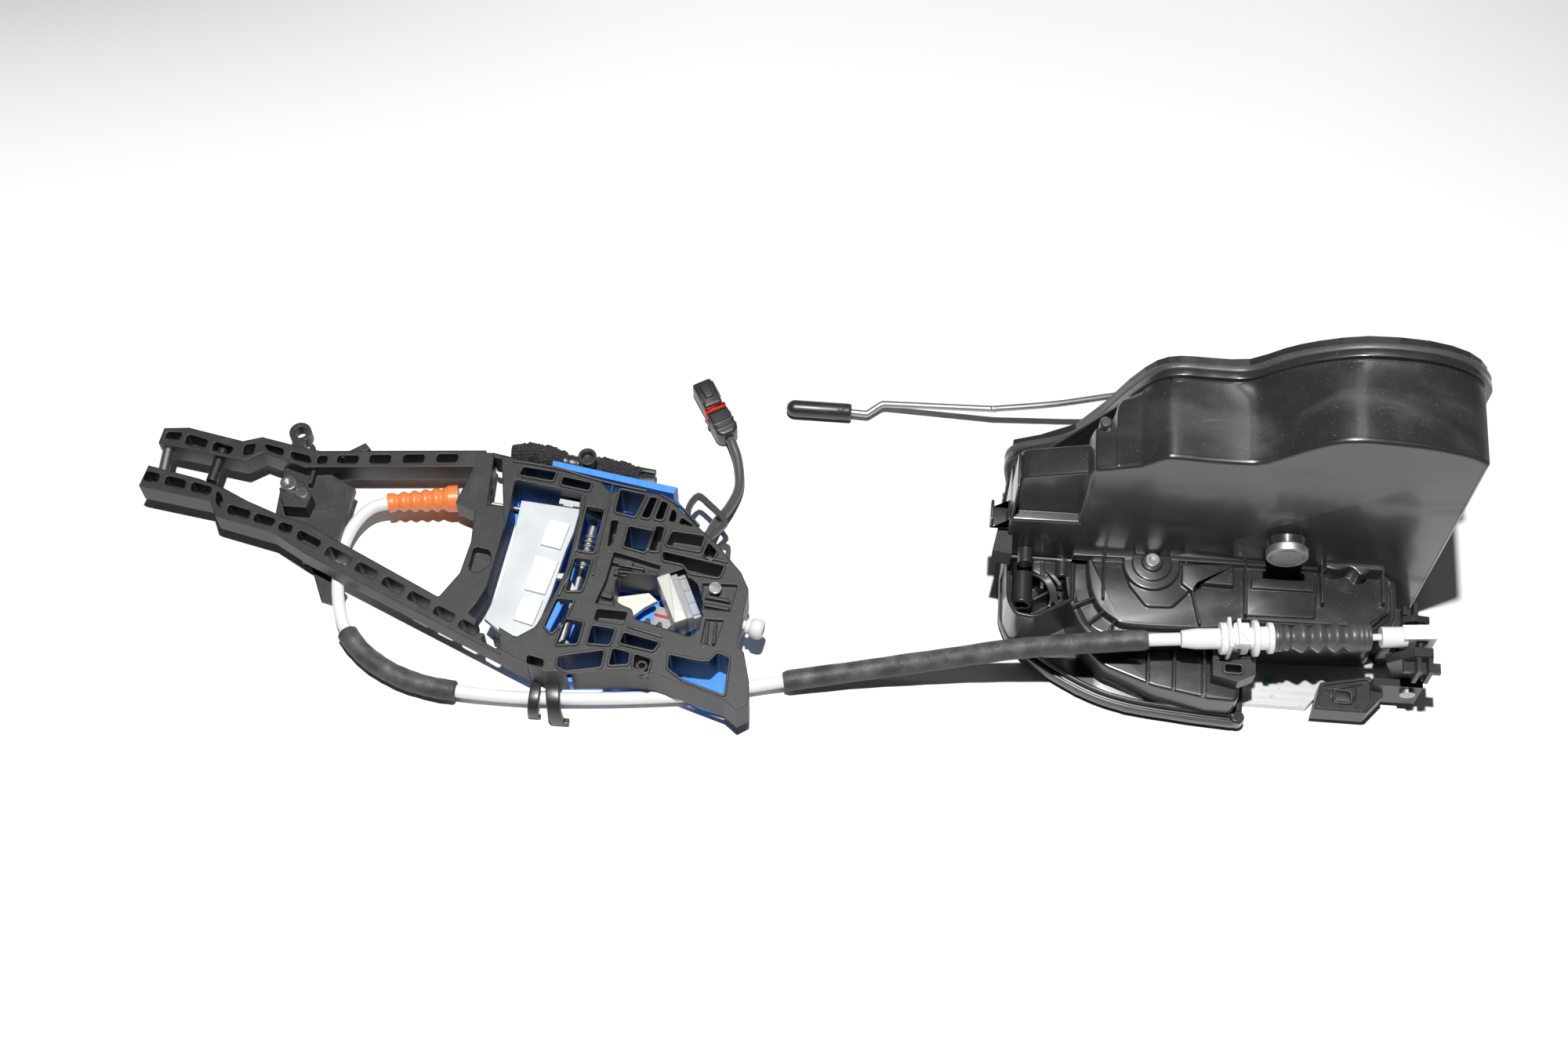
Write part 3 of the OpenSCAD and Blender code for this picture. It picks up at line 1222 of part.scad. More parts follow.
module harness_roll() {
  color("#4a4a48") tube(smooth([[-313, 62.5, 9], [-300, 62.5, 9.5], [-287, 60.2, 9.5], [-270, 57.4, 9],
                                [-254, 54.6, 8]], 3), 4.4, 10);
}

module harness_plug() {
  color("#18181a") difference() {
    translate([-281, 59.5, 14]) cylinder(h = 5, d = 7.5);
    translate([-281, 59.5, 15.4]) cylinder(h = 5, d = 5);
  }
}

// The two-wire pigtail and its plug
module pigtail_cord() { color("#1b1b1c") tube(smooth(cord_points, 2), 2, 10); }

module in_plug() {
  translate([plug_at[0], plug_at[1], 0]) rotate(plug_turn) children();
}

module plug_body() {
  w = plug_w / 2;
  color("#17181a") in_plug() difference() {
    union() {
      block([-plug_l / 2, -w + 0.6, 0.6], [-1.2, w - 0.6, 9.4]);
      block([1.2, -w, 0.2], [plug_l / 2, w, 9.8]);
      block([-1.3, -w + 1.4, 1.6], [1.3, w - 1.4, 8.4]);
      block([3, -w - 0.5, 2], [5, w + 0.5, 8]);
      block([-plug_l / 2 + 2, -1.8, 9.3], [-plug_l / 2 + 8, 1.8, 10.4]);
    }
    block([-plug_l / 2 - 1, -w + 1.8, 1.8], [-plug_l / 2 + 5, w - 1.8, 8.2]);
  }
}

module plug_seal() {
  w = plug_w / 2;
  color("#e8421e") in_plug() difference() {
    block([-1.2, -w + 0.2, 0.5], [1.2, w - 0.2, 9.6]);
    block([-2, -w + 1.4, 1.6], [2, w - 1.4, 8.4]);
  }
}

latch_cover();
foot_cover();
back_shell();
rim_gasket();
face_plate();
mechanism_plate();
fork();
pawl();
fork_rivet();
pawl_rivet();
fork_spring();
pawl_spring();
cover_screw();
pin_cap();
felt_pad();
plug_contacts();
cable_bracket();
lever_bracket();
release_lever();
release_pin();
motor();
motor_pinion();
lock_lever();
lock_rod();
rod_sleeve();
conduit();
rear_foam();
front_foam();
cable_boot();
cable_abutment();
cable_bellows();
cable_slider();
cable_wire();
handle_bracket();
guard_tray();
hook_pin();
hinge_pin();
clamp_block();
clamp_screws();
handle_lever();
lever_shaft();
lever_spring();
cream_plate();
light_block();
light_holder();
barrel_pin();
fixing_screw();
guide_loop();
cable_hooks();
under_clip();
harness_roll();
harness_plug();
pigtail_cord();
plug_body();
plug_seal();
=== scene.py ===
"""Looks of the car door lock: numpy surfaces and procedural materials on the CAD frame."""

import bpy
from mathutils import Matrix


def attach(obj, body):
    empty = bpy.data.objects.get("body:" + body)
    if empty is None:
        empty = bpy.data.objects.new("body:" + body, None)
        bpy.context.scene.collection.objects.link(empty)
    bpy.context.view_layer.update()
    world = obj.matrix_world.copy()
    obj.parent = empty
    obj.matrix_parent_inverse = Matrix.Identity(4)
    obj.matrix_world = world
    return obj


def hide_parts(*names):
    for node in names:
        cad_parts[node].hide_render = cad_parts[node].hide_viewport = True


bl_info = {
    "name": "Car Door Lock",
    "version": (1, 0, 0),
    "blender": (4, 5, 0),
    "location": "View3D > Sidebar > Door Lock",
    "description": "Builds the moulded covers, the cable and the finishes of a car door lock",
    "category": "Add Mesh",
}

import math

import bmesh
import bpy
import numpy as np
from mathutils import Vector

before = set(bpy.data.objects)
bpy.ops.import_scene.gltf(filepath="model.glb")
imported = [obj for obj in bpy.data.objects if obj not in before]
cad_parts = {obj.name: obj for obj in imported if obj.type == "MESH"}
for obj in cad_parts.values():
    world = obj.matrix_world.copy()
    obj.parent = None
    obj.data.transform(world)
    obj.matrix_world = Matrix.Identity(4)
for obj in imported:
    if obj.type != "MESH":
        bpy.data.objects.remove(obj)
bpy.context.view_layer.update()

MM = 0.001  # the shapes below are written in millimetres


# ------------------------------------------------------------------ settings


class LockSettings(bpy.types.PropertyGroup):
    """Sizes and colours of the lock's visual pieces"""

    edge_radius: bpy.props.FloatProperty(
        name="Cover edge", description="Radius of the edge between the cover's front and top",
        default=0.0015, min=0.0005, max=0.003, unit="LENGTH")
    rod_diameter: bpy.props.FloatProperty(
        name="Lock rod", description="Diameter of the lock rod",
        default=0.0028, min=0.002, max=0.0035, unit="LENGTH")
    conduit_diameter: bpy.props.FloatProperty(
        name="Conduit", description="Diameter of the cable's white conduit",
        default=0.005, min=0.004, max=0.0056, unit="LENGTH")
    foam_diameter: bpy.props.FloatProperty(
        name="Foam sleeves", description="Diameter of the foam sleeves on the cable",
        default=0.0082, min=0.007, max=0.009, unit="LENGTH")
    pigtail_diameter: bpy.props.FloatProperty(
        name="Pigtail", description="Diameter of the pigtail's sleeve",
        default=0.004, min=0.002, max=0.005, unit="LENGTH")
    black: bpy.props.FloatVectorProperty(
        name="Black plastic", description="Colour of the latch's moulded cover",
        default=(0.026, 0.026, 0.027), size=3, min=0, max=1, subtype="COLOR")
    blue: bpy.props.FloatVectorProperty(
        name="Blue plastic", description="Colour of the guard tray",
        default=(0.055, 0.30, 0.92), size=3, min=0, max=1, subtype="COLOR")
    orange: bpy.props.FloatVectorProperty(
        name="Orange rubber", description="Colour of the ribbed boot",
        default=(0.98, 0.27, 0.075), size=3, min=0, max=1, subtype="COLOR")
    seal: bpy.props.FloatVectorProperty(
        name="Plug seal", description="Colour of the plug's seal",
        default=(0.80, 0.055, 0.025), size=3, min=0, max=1, subtype="COLOR")
    key_power: bpy.props.FloatProperty(
        name="Key light", description="Power of the light above the table",
        default=30.0, min=0, max=100, unit="POWER")


def settings():
    """The sizes and colours of the scene's lock."""
    return bpy.context.scene.door_lock


# ------------------------------------------------------------- plain geometry


def unit(v):
    """Each vector divided by its length."""
    v = np.asarray(v, float)
    return v / np.maximum(np.linalg.norm(v, axis=-1, keepdims=True), 1e-12)


def spline(points, steps=8):
    """Catmull-Rom curve through the points: each span is the cubic of its four neighbours."""
    p = np.asarray(points, float)
    p = np.vstack([p[:1], p, p[-1:]])
    t = (np.arange(steps) / steps)[None, :, None]
    a, b, c, d = p[:-3, None], p[1:-2, None], p[2:-1, None], p[3:, None]
    curve = 0.5 * (2 * b + (c - a) * t + (2 * a - 5 * b + 4 * c - d) * t**2
                   + (3 * b - a - 3 * c + d) * t**3)
    return np.vstack([curve.reshape(-1, p.shape[1]), p[-1:]])


def rounded(points, radius, steps=5):
    """Closed outline whose corners become quadratic arcs that start radius away from the corner."""
    p = np.asarray(points, float)
    r = np.broadcast_to(np.asarray(radius, float), len(p))
    before, after = np.roll(p, 1, 0), np.roll(p, -1, 0)
    out = []
    for corner, a, b, cut in zip(p, before, after, r):
        to_a, to_b = a - corner, b - corner
        la, lb = np.linalg.norm(to_a), np.linalg.norm(to_b)
        if cut < 1e-6 or np.dot(to_a, to_b) / (la * lb) < -0.985:
            out.append(corner[None])
            continue
        start = corner + to_a * min(cut / la, 0.48)
        end = corner + to_b * min(cut / lb, 0.48)
        t = np.linspace(0, 1, steps + 1)[:, None]
        out.append((1 - t) ** 2 * start + 2 * t * (1 - t) * corner + t**2 * end)
    return np.vstack(out)


def offset(outline, distance):
    """Each point of a counter-clockwise outline moved inward along its mitre."""
    u = unit(outline - np.roll(outline, 1, 0))
    v = unit(np.roll(outline, -1, 0) - outline)
    turn = np.maximum(1 + np.sum(u * v, 1), 0.35)[:, None]
    return outline + distance * np.stack([-(u + v)[:, 1], (u + v)[:, 0]], 1) / turn


def counter_clockwise(outline):
    """The outline, turned round where its signed area is negative."""
    p = np.asarray(outline, float)
    q = np.roll(p, -1, 0)
    return p if np.sum(p[:, 0] * q[:, 1] - q[:, 0] * p[:, 1]) > 0 else p[::-1]


def strip(path, width):
    """Closed outline of a wall of that width on the left of an open path."""
    p = np.asarray(path, float)
    t = unit(np.gradient(p, axis=0))
    return counter_clockwise(np.vstack([p, (p + width * np.stack([-t[:, 1], t[:, 0]], 1))[::-1]]))


def rings(points, closed=False):
    """Quads between the rows of a grid of points, shape (rows, columns, 3), whose columns close on
    themselves, and a cap on the first and last row unless the rows close too."""
    n, m = points.shape[:2]
    rows = np.arange(n if closed else n - 1)[:, None]
    k = np.arange(m)[None, :]
    a, b = rows * m + k, rows * m + (k + 1) % m
    c, d = ((rows + 1) % n) * m + (k + 1) % m, ((rows + 1) % n) * m + k
    faces = [np.stack([a, b, c, d], -1).reshape(-1, 4)]
    if not closed:
        faces += [k[:, ::-1], (n - 1) * m + k]
    return points.reshape(-1, 3), faces


def levels(outline, rows, plane):
    """Grid of a closed outline that is repeated, moved inward, at each row's (inset, height)."""
    base = counter_clockwise(outline)
    grid = []
    for inset, height in rows:
        p = offset(base, inset)
        h = np.full(len(p), float(height))
        grid.append(np.stack([p[:, 0], p[:, 1], h] if plane == "xy" else [p[:, 0], h, p[:, 1]], 1))
    return np.stack(grid)


def loft(outline, rows, plane="xy"):
    """A solid whose surface runs round the outline and up the rows of (inset, height)."""
    return rings(levels(outline, rows, plane))


def bead(outline, rows, plane="xy"):
    """A closed ring along the outline; its rows of (inset, height) are the section."""
    return rings(levels(outline, rows, plane).swapaxes(0, 1), True)


def up_edge(low, high, radius, foot=0.0, steps=4):
    """Rows of a wall from low to high whose upper edge is a quarter circle; foot rounds the lower edge."""
    a = np.linspace(0, math.pi / 2, steps + 1)
    rows = [(radius * (1 - math.cos(x)), high - math.copysign(radius, high - low) * (1 - math.sin(x)))
            for x in a]
    if foot:
        rows = [(foot * (1 - math.cos(x)), low + math.copysign(foot, high - low) * (1 - math.sin(x)))
                for x in a[::-1]] + rows
    else:
        rows = [(0, low)] + rows
    return rows


def slab(outline, low, high, radius=0.5, corner=0.8, plane="xy", foot=0.0):
    """A plate with rounded corners and a rounded upper edge."""
    return loft(rounded(outline, corner) if corner else np.asarray(outline, float),
                up_edge(low, high, radius, foot), plane)


def block(low, high, radius=0.5):
    """A box between two corners with all its edges rounded."""
    (x0, y0, z0), (x1, y1, z1) = low, high
    return slab([[x0, y0], [x1, y0], [x1, y1], [x0, y1]], z0, z1, radius, radius, foot=radius)


def rib(a, b, thick, low, high, radius=0.3):
    """A thin upright wall from a to b."""
    a, b = np.asarray(a, float), np.asarray(b, float)
    side = unit(b - a)[::-1] * [-1, 1] * thick / 2
    return slab([a - side, b - side, b + side, a + side], low, high, radius, min(0.3, thick / 3))


def cross_frames(path, up):
    """Sideways and upward unit vectors across a path: side = up x tangent, top = tangent x side."""
    t = unit(np.gradient(path, axis=0))
    side = unit(np.cross(np.broadcast_to(np.asarray(up, float), t.shape), t))
    return side, np.cross(t, side)


def sweep(path, section, up=(0, 0, 1), scale=None):
    """A closed section carried along a path: point = path + side * s0 + upward * s1."""
    path = np.asarray(path, float)
    section = np.asarray(section, float)
    side, top = cross_frames(path, up)
    k = np.ones(len(path)) if scale is None else np.asarray(scale, float)
    grid = path[:, None] + k[:, None, None] * (section[None, :, :1] * side[:, None]
                                               + section[None, :, 1:] * top[:, None])
    return rings(grid)


def circle(radius, sides=16):
    """Points (cos, sin) times the radius."""
    a = np.arange(sides) * 2 * math.pi / sides
    return radius * np.stack([np.cos(a), np.sin(a)], 1)


def tube(path, radius, sides=18):
    """A round section carried along a path; radius is one number or one for each point."""
    path = np.asarray(path, float)
    return sweep(path, circle(1, sides), scale=np.broadcast_to(radius, len(path)))


def revolve(profile, origin, axis, sides=40):
    """A profile of (distance along the axis, radius) turned round the axis."""
    p = np.asarray(profile, float)
    axis = unit(axis)
    other = np.array([0, 0, 1.0]) if abs(axis[2]) < 0.9 else np.array([1.0, 0, 0])
    s = unit(np.cross(other, axis))
    c = np.cross(axis, s)
    around = circle(1, sides)
    grid = (np.asarray(origin, float) + p[:, None, :1] * axis
            + p[:, None, 1:] * (around[None, :, :1] * s + around[None, :, 1:] * c))
    return rings(grid)


def lumpy(path, radius, sides, amount):
    """A tube whose radius wanders round and along it: r = radius * (1 + amount * three sines)."""
    side, top = cross_frames(path, (0, 0, 1))
    run = np.linspace(0, 1, len(path))[:, None]
    a = np.arange(sides)[None] * 2 * math.pi / sides
    wander = np.sin(3 * a + 19 * run) + 0.7 * np.sin(5 * a - 41 * run) + 0.6 * np.sin(2 * a + 83 * run)
    r = np.asarray(radius, float)[:, None] * (1 + amount * wander)
    return rings(path[:, None] + r[..., None] * (np.cos(a)[..., None] * side[:, None]
                                                 + np.sin(a)[..., None] * top[:, None]))


def rim(outline, low, high, width=0.9):
    """A thin wall that stands round an opening, with softened top edges."""
    o = rounded(counter_clockwise(outline), 0.9, 3)
    inner, soft = 0.1, 0.25
    return bead(o, ((inner, low), (-width, low), (-width, high - soft), (soft - width, high),
                    (inner - soft, high), (inner, high - soft)))


def strap(path, width, thick):
    """A flat band in a plane of constant X that follows a smooth path."""
    band = rounded([[-thick / 2, -width / 2], [thick / 2, -width / 2], [thick / 2, width / 2],
                    [-thick / 2, width / 2]], 0.6, 3)
    return sweep(spline(path, 6), band, (1, 0, 0))


def resample(path, count):
    """The path again, as points at equal steps of its length."""
    path = np.asarray(path, float)
    d = np.concatenate([[0], np.cumsum(np.linalg.norm(np.diff(path, axis=0), axis=1))])
    t = np.linspace(0, d[-1], count)
    return np.stack([np.interp(t, d, path[:, i]) for i in range(path.shape[1])], 1)


def piece(name, surfaces, look, body, slot, *nodes, sharp=40):
    """Writes surfaces given in millimetres as one object that rides on a CAD body."""
    starts = np.cumsum([0] + [len(points) for points, _ in surfaces])
    corners = [f for start, (_, faces) in zip(starts, surfaces) for grid in faces
               for f in (grid + start).tolist()]
    mesh = bpy.data.meshes.new(name)
    # Single precision, as Blender keeps it, so that equal corners stay equal when they are merged
    points = np.vstack([points for points, _ in surfaces]).astype(np.float32) * np.float32(MM)
    mesh.from_pydata(points, [], corners)
    bm = bmesh.new()
    bm.from_mesh(mesh)
    bmesh.ops.remove_doubles(bm, verts=bm.verts, dist=1e-6)
    bmesh.ops.dissolve_degenerate(bm, edges=bm.edges, dist=1e-7)
    bmesh.ops.recalc_face_normals(bm, faces=bm.faces)
    bm.to_mesh(mesh)
    bm.free()
    mesh.polygons.foreach_set("use_smooth", np.ones(len(mesh.polygons), bool))
    mesh.set_sharp_from_angle(angle=math.radians(sharp))
    obj = bpy.data.objects.new(name, mesh)
    bpy.context.scene.collection.objects.link(obj)
    mesh.materials.append(look)
    bpy.context.view_layer.update()
    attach(obj, body)
    if nodes:
        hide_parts(*nodes)
    return obj


# ------------------------------------------------------------------ materials


class Wire:
    """A value in a node tree; Python's operators on it add Math nodes."""

    def __init__(self, look, socket):
        self.look, self.socket = look, socket

    def maths(self, operation, *values):
        """One Math node on these values."""
        return self.look.add("ShaderNodeMath", {"operation": operation}, dict(enumerate(values)))

    def __add__(self, other):
        return self.maths("ADD", self, other)

    __radd__ = __add__

    def __sub__(self, other):
        return self.maths("SUBTRACT", self, other)

    def __rsub__(self, other):
        return self.maths("SUBTRACT", other, self)

    def __mul__(self, other):
        return self.maths("MULTIPLY", self, other)

    __rmul__ = __mul__

    def clamp(self):
        """Held between 0 and 1."""
        return self.maths("MINIMUM", self.maths("MAXIMUM", self, 0.0), 1.0)

    def between(self, low, high):
        """0 below low, 1 above high, smooth in between."""
        return self.look.add("ShaderNodeMapRange", {"interpolation_type": "SMOOTHSTEP"},
                             {0: self, 1: low, 2: high})


class Look:
    """One material; its shader is a Principled BSDF."""

    def __init__(self, name, **constants):
        self.material = bpy.data.materials.new(name)
        self.material.use_nodes = True
        self.tree = self.material.node_tree
        self.shader = self.tree.nodes["Principled BSDF"]
        for socket, value in constants.items():
            self.shader.inputs[socket.replace("_", " ").title().replace("Ior", "IOR")].default_value = value
        self.point = self.add("ShaderNodeTexCoord", output="Object")
        self.normal = self.add("ShaderNodeNewGeometry", output="Normal")

    def add(self, kind, options=None, inputs=None, output=0):
        """One node: its settings first, then the values or links of its sockets."""
        node = self.tree.nodes.new(kind)
        for key, value in (options or {}).items():
            setattr(node, key, value)
        for key, value in (inputs or {}).items():
            if isinstance(value, Wire):
                self.tree.links.new(value.socket, node.inputs[key])
            else:
                node.inputs[key].default_value = value
        return Wire(self, node.outputs[output])

    def noise(self, scale, detail=3.0, stretch=None, distortion=0.0):
        """Noise over the piece, drawn out along the axes whose stretch is small."""
        point = self.point
        if stretch:
            point = self.add("ShaderNodeVectorMath", {"operation": "MULTIPLY"}, {0: point, 1: stretch})
        return self.add("ShaderNodeTexNoise", None,
                        {"Vector": point, "Scale": scale, "Detail": detail, "Distortion": distortion})

    def mix(self, factor, a, b):
        """Colour a where the factor is 0, b where it is 1."""
        a, b = (v if isinstance(v, Wire) or len(v) == 4 else (*v, 1.0) for v in (a, b))
        return self.add("ShaderNodeMix", {"data_type": "RGBA"}, {0: factor, 6: a, 7: b}, 2)

    def part(self, vector, index):
        """X, Y or Z of a vector."""
        return self.add("ShaderNodeSeparateXYZ", None, {0: vector}, index)

    def upward(self):
        """1 on what faces up, 0 on walls and undersides."""
        return self.part(self.normal, 2).clamp()

    def soft_normal(self, radius):
        """Normal rounded over edges."""
        return self.add("ShaderNodeBevel", {"samples": 6}, {"Radius": radius})

    def edges(self, soft):
        """How far the rounded normal leans from the face: 0 on flats, more on edges."""
        along = self.add("ShaderNodeVectorMath", {"operation": "DOT_PRODUCT"},
                         {0: soft, 1: self.normal}, "Value")
        return (1.0 - along).between(0.01, 0.25)

    def done(self, colour, roughness, height=None, depth=0.0001, strength=0.5, normal=None):
        """Links or sets the shader's colour, roughness and normal; height goes through a Bump node."""
        inputs = {"Base Color": colour, "Roughness": roughness}
        if height is not None:
            bump = {"Strength": strength, "Distance": depth, "Height": height}
            if normal is not None:
                bump["Normal"] = normal
            inputs["Normal"] = self.add("ShaderNodeBump", None, bump)
        elif normal is not None:
            inputs["Normal"] = normal
        for key, value in inputs.items():
            if isinstance(value, Wire):
                self.tree.links.new(value.socket, self.shader.inputs[key])
            else:
                value = (*value, 1.0) if key == "Base Color" and len(value) == 3 else value
                self.shader.inputs[key].default_value = value
        return self.material


DUST = (0.42, 0.41, 0.39)  # colour of the dust that lies on all the plastics


def moulded(name, colour, roughness, edge=0.0004, grain=0.25, dust=0.5, wear_and_edge_highlight=0.3, streaks=0.0, **constants):
    """Injection moulded plastic: rounded edges, fine grain, lighter edges that are partly rubbed wear and
    partly a painted highlight, dust on what faces up.
    """
    look = Look(name, **constants)
    soft = look.soft_normal(edge)
    broad = look.noise(45, 3, (0.4, 1.0, 1.0), 0.4)
    fine = look.noise(1500, 2)
    specks = look.noise(1900, 1).between(0.71, 0.79)
    film = look.noise(130, 6).between(0.45, 0.8)
    up = look.upward()
    # Edges turn lighter: partly rubbed wear, partly a painted highlight where the edges would catch the
    # lamp
    lighter = tuple(min(1.0, c * 1.6 + 0.05) for c in colour)
    base = look.mix(look.edges(soft) * wear_and_edge_highlight * look.noise(420, 3).between(0.35, 0.65), colour, lighter)
    base = look.mix((specks * 0.8 + film * 0.05) * dust * (up * 0.8 + 0.2), base, DUST)
    rough = roughness + (broad - 0.5) * 0.1 + specks * 0.25 + film * up * 0.06
    if streaks:
        haze = look.noise(34, 5, (0.35, 1.0, 1.0), 0.8).between(0.52, 0.85)
        lines = look.noise(900, 2, (0.06, 0.4, 1.0), 0.5).between(0.66, 0.74) * haze
        rough = rough + haze * streaks * 0.5
        base = look.mix((haze * 0.1 + lines * 0.35) * streaks * (up * 0.8 + 0.2), base, DUST)
    return look.done(base, rough.clamp(), fine, 0.00006, grain, soft)


def metal(name, colour, roughness, scratch=0.15, edge=0.0003, dull=(0.25, 0.24, 0.22)):
    """Zinc or steel: broad cloudy plating, fine lines along X and a few dull spots."""
    look = Look(name, metallic=1.0)
    soft = look.soft_normal(edge)
    lines = look.noise(700, 2, (0.06, 1.0, 1.0))
    cloud = look.noise(60, 5, distortion=0.8)
    spots = look.noise(480, 4).between(0.6, 0.74)
    base = look.mix(spots * 0.35 + cloud * 0.1, colour, dull)
    rough = roughness + lines * scratch + (cloud - 0.5) * 0.16 + spots * 0.1
    return look.done(base, rough.clamp(), lines, 0.00004, 0.3, soft)


def make_looks():
    """Every finish by its short name."""
    s = settings()
    black, blue, orange, seal = (tuple(v) for v in (s.black, s.blue, s.orange, s.seal))
    looks = {
        "cover": moulded("Cover black", black, 0.32, 0.0006, 0.05, 0.6, 0.5, 0.9, specular_ior_level=0.7,
                         coat_weight=0.6, coat_roughness=0.14),
        "bracket": moulded("Bracket black", (0.010, 0.010, 0.011), 0.5, 0.0008, 0.6, 0.9, 0.9,
                           specular_ior_level=0.8),
        "ribs": moulded("Bracket ribs", (0.026, 0.026, 0.027), 0.46, 0.0004, 0.5, 1.0, 0.9,
                        specular_ior_level=0.9),
        "small_black": moulded("Small black parts", (0.024, 0.024, 0.025), 0.36, 0.0003, 0.2, 0.5, 0.3,
                               specular_ior_level=0.8),
        "gasket": moulded("Gasket", (0.07, 0.07, 0.072), 0.42, 0.0005, 0.6, 1.0, 0.5, 0.8,
                          specular_ior_level=0.8),
        "blue": moulded("Guard blue", blue, 0.42, 0.0004, 0.12, 0.15, 0.35, specular_ior_level=0.8),
        "white": moulded("Cable white", (0.90, 0.90, 0.89), 0.34, 0.0004, 0.1, 0.05, 0.0),
        "cream": moulded("Cream", (0.80, 0.78, 0.70), 0.42, 0.0003, 0.15, 0.2, 0.1),
        "knob": moulded("Knob", (0.80, 0.80, 0.78), 0.4, 0.0006, 0.3, 0.15, 0.0),
        "orange": moulded("Boot orange", orange, 0.34, 0.0004, 0.3, 0.3, 0.5, specular_ior_level=0.8),
        "seal": moulded("Seal", seal, 0.4, 0.0003, 0.2, 0.2, 0.1),
        "bellows": moulded("Bellows rubber", (0.085, 0.084, 0.08), 0.4, 0.0003, 0.3, 0.5, 0.4,
                           specular_ior_level=0.8),
        "red": moulded("Red line", (0.70, 0.03, 0.03), 0.3, 0.0002, 0.1, 0.0, 0.0),
        "paint": moulded("Green paint", (0.10, 0.55, 0.26), 0.5, 0.0001, 0.4, 0.2, 0.0),
        "frosted": moulded("Frosted", (0.78, 0.78, 0.73), 0.3, 0.0005, 0.2, 0.1, 0.0,
                           transmission_weight=0.15),
        "felt": moulded("Felt", (0.05, 0.05, 0.052), 0.85, 0.0005, 1.0, 0.8, 0.3),
        "steel": metal("Face steel", (0.68, 0.68, 0.67), 0.4),
        "zinc": metal("Zinc", (0.50, 0.51, 0.51), 0.36, 0.25),
        "cap": metal("Zinc cap", (0.52, 0.55, 0.54), 0.42, 0.15),
        "dark_steel": metal("Catch steel", (0.30, 0.31, 0.32), 0.4, 0.2),
        "screw": metal("Screw", (0.82, 0.82, 0.80), 0.2, 0.1),
        "brass": metal("Brass", (0.80, 0.60, 0.28), 0.28, 0.1),
    }
    return {**looks, "foam": foam_look(), "tape": tape_look(), "clear": clear_look(), "lever": lever_look()}


def foam_look():
    """Closed cell foam: small round pits and a lighter top, painted top light where it faces up."""
    look = Look("Foam")
    cells = look.add("ShaderNodeTexVoronoi", None, {"Vector": look.point, "Scale": 1500.0})
    broad = look.noise(150, 4)
    # Lighter grey in noisy patches where the foam faces up: painted top light
    base = look.mix(look.upward() * broad.between(0.3, 0.8) * 0.8, (0.045, 0.045, 0.046),
                    (0.19, 0.19, 0.19))
    return look.done(base, 0.62 - broad * 0.2, cells + look.noise(600, 3), 0.0002, 0.4)


def tape_look():
    """Woven fleece tape: threads across each other as two fine waves, with stray light fibres."""
    look = Look("Fleece tape")
    warp, weft = (look.add("ShaderNodeTexWave", {"bands_direction": way},
                           {"Vector": look.point, "Scale": 260.0, "Distortion": 2.5, "Detail": 2.0}, 1)
                  for way in "XY")
    weave = warp * weft
    fibres = look.noise(900, 4, (0.25, 1.0, 1.0), 2.0).between(0.55, 0.7)
    base = look.mix(weave.clamp(), (0.018, 0.018, 0.018), (0.075, 0.074, 0.070))
    base = look.mix(fibres * 0.5, base, (0.20, 0.19, 0.18))
    return look.done(base, 0.9, weave + fibres * 0.5, 0.0004, 1.0)


def clear_look():
    """Clear moulded plastic with a faint bloom inside."""
    look = Look("Clear block", ior=1.3, transmission_weight=0.6)
    soft = look.soft_normal(0.0005)
    bloom = look.noise(160, 4)
    base = look.mix(bloom, (0.86, 0.87, 0.87), (0.97, 0.97, 0.97))
    return look.done(base, 0.1 + bloom * 0.2, look.noise(500, 2), 0.0001, 0.2, soft)


def lever_look():
    """Grey carrier with whiter raised pads: the colour changes with the height above the table."""
    look = Look("Lever grey and white")
    soft = look.soft_normal(0.0004)
    pads = look.part(look.point, 2).between(0.0174, 0.0178)
    cloud = look.noise(70, 4).between(0.3, 0.8)
    base = look.mix(cloud, (0.60, 0.64, 0.65), (0.72, 0.755, 0.76))
    base = look.mix(pads, base, (0.90, 0.90, 0.89))
    return look.done(base, 0.42 - pads * 0.05, look.noise(900, 2), 0.00005, 0.2, soft)


LOOKS = {}  # filled by main

# The finish of each CAD node
NODE_LOOKS = {
    "bracket": ["handle_bracket", "clamp_block", "under_clip", "hinge_pin"],
    "small_black": ["back_shell", "guide_loop", "cable_hooks", "harness_plug", "plug_body", "rod_sleeve",
                    "lever_bracket", "release_lever", "cable_bracket"],
    "blue": ["guard_tray"],
    "lever": ["handle_lever"],
    "clear": ["light_holder"],
    "white": ["cable_slider", "cable_abutment", "motor_pinion", "lock_lever", "conduit"],
    "cream": ["cream_plate"],
    "knob": ["fixing_screw"],
    "frosted": ["light_block"],
    "seal": ["plug_seal"],
    "felt": ["felt_pad"],
    "steel": ["face_plate", "mechanism_plate"],
    "dark_steel": ["fork", "pawl", "motor", "hook_pin"],
    "zinc": ["fork_rivet", "pawl_rivet", "fork_spring", "pawl_spring", "release_pin", "cable_wire",
             "lever_shaft", "lever_spring", "pin_cap", "lock_rod"],
    "screw": ["cover_screw", "clamp_screws", "barrel_pin"],
    "brass": ["plug_contacts"],
    "gasket": ["rim_gasket"],
    "cover": ["latch_cover", "foot_cover"],
    "foam": ["front_foam", "rear_foam"],
    "orange": ["cable_boot"],
    "bellows": ["cable_bellows", "pigtail_cord"],
    "tape": ["harness_roll"],
}


# ---------------------------------------------------------------- the outlines

